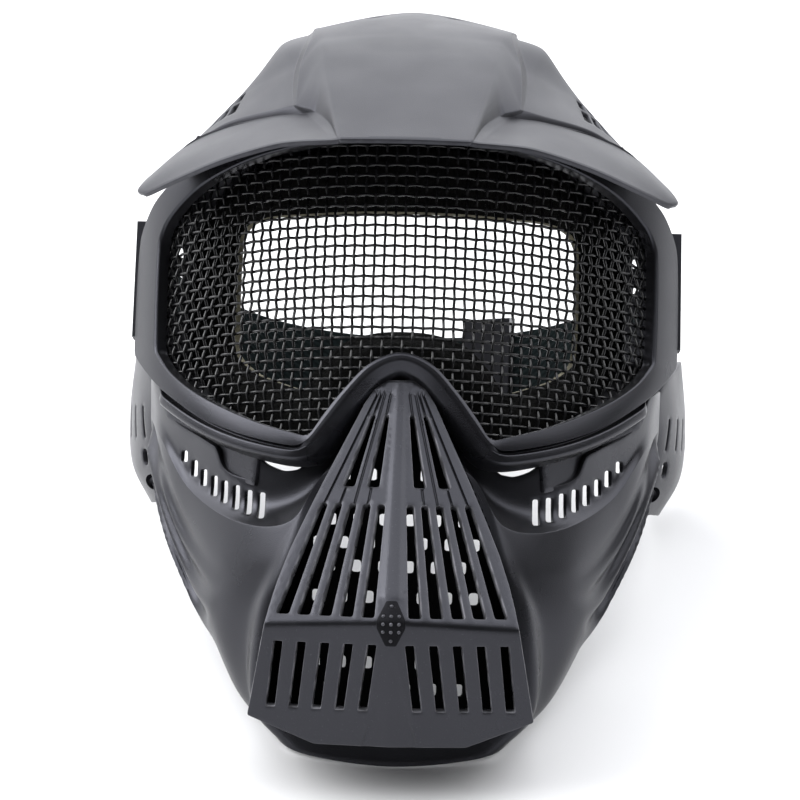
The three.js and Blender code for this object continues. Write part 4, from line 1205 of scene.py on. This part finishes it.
# Sections from the brim's front edge to the rear: the middle, the hump's edge, its foot and root, the fold of
# the crown, its quarter and its side, and the tip. The brim ends in a slit under the lip of the crown.
VISOR_SECTIONS = np.array([
    [(0, -38, 43.5), (21, -37, 43.3), (22.8, -36, 43.2), (25, -34.8, 43.1), (42.7, -25.5, 42.5),
     (62.3, -14, 37.9), (79.1, -1, 32.2), (93.8, 14, 26.8)],
    [(0, -21, 55), (24.6, -20, 54), (26.5, -19, 50.4), (29.4, -17, 49.1), (44.9, -10, 48.7), (65, 2, 45.1),
     (82.7, 14, 38.8), (96.9, 20, 29)],
    [(0, -6, 65.2), (27.2, -5.5, 64), (31.9, -5, 55.6), (35.9, -1, 55.4), (46.6, 6, 55.2), (65.4, 20, 52.3),
     (80.5, 32, 46.6), (94.6, 28, 33.6)],
    [(0, 5, 72.4), (29, 5, 70.8), (34, -3, 57), (36.8, 0.2, 55.6), (46.6, 6.6, 54.2), (65.4, 20.5, 51.9),
     (80.4, 32.4, 45.9), (94.2, 28.6, 33.4)],
    [(0, 17, 79.8), (30.6, 17, 78.2), (39, 2, 59.2), (40.6, 3.5, 58.7), (46.8, 7, 57.4), (65.5, 20.8, 53.8),
     (80.2, 33, 45.6), (93.6, 29.4, 33.2)],
    [(0, 32, 88), (32, 31, 85.6), (39.3, 20, 74.7), (41.6, 25, 73.6), (45.4, 28, 73), (61.6, 39, 65.9),
     (69.4, 47, 58.6), (73, 53, 51)],
    [(0, 54, 97.2), (34.4, 48, 92.1), (36.4, 44, 90), (38.8, 48, 89), (48.4, 50, 86.1), (56.6, 55, 74.4),
     (63, 61, 59), (70, 67, 47.5)],
    [(0, 84, 104.3), (37, 84, 97.5), (39, 84, 95.5), (41, 85, 93), (46, 86, 88), (53, 88, 72), (59, 91, 57),
     (67, 94, 44)],
], float)
VISOR_ROWS = np.concatenate([VISOR_SECTIONS[:, :0:-1] * (-1, 1, 1), VISOR_SECTIONS], axis=1)
# How far the surface is tightened along the hump's edges and foot, and across the lip beside the hump.
COLUMN_EASE = np.array([0, 0, 0, 0.2, 0.6, 0.75, 0.6])
HUMP_EASE = np.concatenate([COLUMN_EASE, [0], COLUMN_EASE[::-1]])
LIP_ROW_EASE = np.array([0, 0, 0.8, 0.8, 0.8, 0, 0, 0])
HUMP_SIDE = (25.0, 40.0)  # across the visor, from the hump's edge to its foot


def on_visor(uv):
    """The visor's outside, at uv across it from its middle and along it from its rear edge."""
    across, down = (uv[:, 0] / VISOR_HALF + 1) / 2, 1 - uv[:, 1] / VISOR_LONG
    crisp, smooth = (surface(VISOR_ROWS, down, across, ease, HUMP_EASE) for ease in (LIP_ROW_EASE, 0.0))
    beside = eased(np.abs(uv[:, :1]), *HUMP_SIDE)
    return smooth + (crisp - smooth) * beside


TOP_VENT = {"x": 15.0, "y": 76.0, "diameter": 7.0}
TOP_AREA = ((-50, 0), (50, 60))
# The ladder of windows low on each side: two rows of four, placed across and along the wall itself.
LADDER = {"across": (93.0, 98.0, 103.0, 108.0), "along": (57.0, 66.0), "wide": 3.2, "long": 7.0}


def visor_holes():
    drawn = [round_hole(x, TOP_VENT["y"], TOP_VENT["diameter"]) for x in (-TOP_VENT["x"], TOP_VENT["x"])]
    holes = found(on_visor, drawn, XY, *TOP_AREA)
    sizes = LADDER["wide"], LADDER["long"]
    windows = [box_slot(u, v, *sizes, 0.6) for u in LADDER["across"] for v in LADDER["along"]]
    return holes + windows + [mirrored(window, 0) for window in windows]


visor_plastic = black_plastic("visor_plastic", tone=0.008, shine=0.42, rub_and_highlight=0.2)
visor_corners = oblong(0, VISOR_LONG / 2, 2 * VISOR_HALF, VISOR_LONG)
visor_outline = resampled(rounded(visor_corners, 3.0, 5), 1.6)
visor_wall = moulded_wall(
    on_visor,
    visor_outline,
    visor_holes(),
    spacing=1.7,
    thickness=VISOR_WALL,
    rounding=0.9,
)
piece("visor_moulding", [visor_wall], visor_plastic, ["visor_crown"])

# Head strap
# A band of woven elastic that goes round the back of the head. Each end is folded round the bar of its
# anchor and lies flat against the inside of the band.
STRAP_WIDTH, STRAP_THICKNESS = 38.0, 1.8
RIB_DEPTH, RIB_PITCH = 0.1, 2.1  # of the ribs that run along it
RIB_MARGIN = 1.0  # plain edge at each side
# The route of half the strap from its folded end, in (x, y, z, lean of its width in degrees).
STRAP_ROUTE = np.array([
    (93.9, 84, -5.7, 10), (93.9, 75, -4.1, 10), (94.1, 69.8, -3.2, 10), (97, 66.8, -2.7, 10),
    (100, 69.8, -3.2, 10), (100.4, 76, -4.2, 10), (102.3, 90, -6, 8), (100, 112, -10, 5), (93, 136, -15.5, 2),
    (80, 160, -22.5, 1), (58, 181, -30.2, 0), (30, 193, -34.8, 0), (0, 197, -36, 0),
], float)
STRAP_LINE = np.concatenate([STRAP_ROUTE, STRAP_ROUTE[-2::-1] * (-1, 1, 1, 1)])
STRAP_STEPS = 320


def strap_frame(t):
    """The middle of the strap at t from end to end, the way its width runs and the way out of it."""
    line = through(STRAP_LINE, t)
    along = through(STRAP_LINE, t + 1e-4)[:, :3] - through(STRAP_LINE, t - 1e-4)[:, :3]
    along /= np.linalg.norm(along, axis=1, keepdims=True)
    lean = np.radians(line[:, 3])
    up = np.stack([np.zeros(len(lean)), np.sin(lean), np.cos(lean)], 1)
    out = np.cross(along, up)
    return line[:, :3], up, out / np.linalg.norm(out, axis=1, keepdims=True)


def strap_band():
    middle, up, out = strap_frame(np.linspace(0, 1, STRAP_STEPS + 1))
    section = resampled(rounded(oblong(0, 0, STRAP_WIDTH, STRAP_THICKNESS), 0.8), 0.7)
    rings = []
    for across, thick in section:
        ribbed = abs(across) < STRAP_WIDTH / 2 - RIB_MARGIN
        rib = RIB_DEPTH * math.cos(across * 2 * math.pi / RIB_PITCH) * ribbed
        rings.append(middle + up * across + out * (thick - math.copysign(RIB_DEPTH - rib, thick)))
    return lofted(np.stack(rings, 1), closed=False)


def webbing_group():
    """Woven elastic: fine cross threads with uneven picks between them, painted lighter where they stand up
    and darker between them as light and shade.
    """
    tree, given, result = finish_group(
        "elastic_weave",
        [("Tone", "NodeSocketColor", (0.004, 0.007, 0.0075, 1)), ("Thread", "NodeSocketFloat", 1300.0)],
    )
    place = add_node(tree, "ShaderNodeTexCoord").outputs["Object"]
    sockets = {"Vector": place, "Scale": 260.0, "Distortion": 1.5}
    threads = add_node(tree, "ShaderNodeTexWave", sockets, bands_direction="Y").outputs[1]
    picks = noise(tree, place, given.outputs["Thread"], 2.0)
    relief = combined(tree, "ADD", threads, picks)
    # The tone follows the relief: painted light on the raised threads and painted shade between them.
    tone = shaded(tree, given.outputs["Tone"], ranged(tree, relief, (0.3, 1.6), (0.7, 1.6)))
    put_out(tree, result, tone, ranged(tree, picks, (0.0, 1.0), (0.7, 0.95)), relief)
    return tree


strap_weave = finish_from("strap_weave", webbing_group(), {}, 0.00015, Specular_IOR_Level=0.1)
piece("strap_webbing", [strap_band()], strap_weave, ["head_strap"], crease=60)

# Strap slider
# A three-bar slider of moulded plastic on the back of the strap, which sets its length. The solid is right as
# it is and only has its edges broken.
slider_plastic = black_plastic("slider_plastic", tone=0.01, shine=0.3, rub_and_highlight=0.0)
dressed("strap_slider", slider_plastic, 0.8)
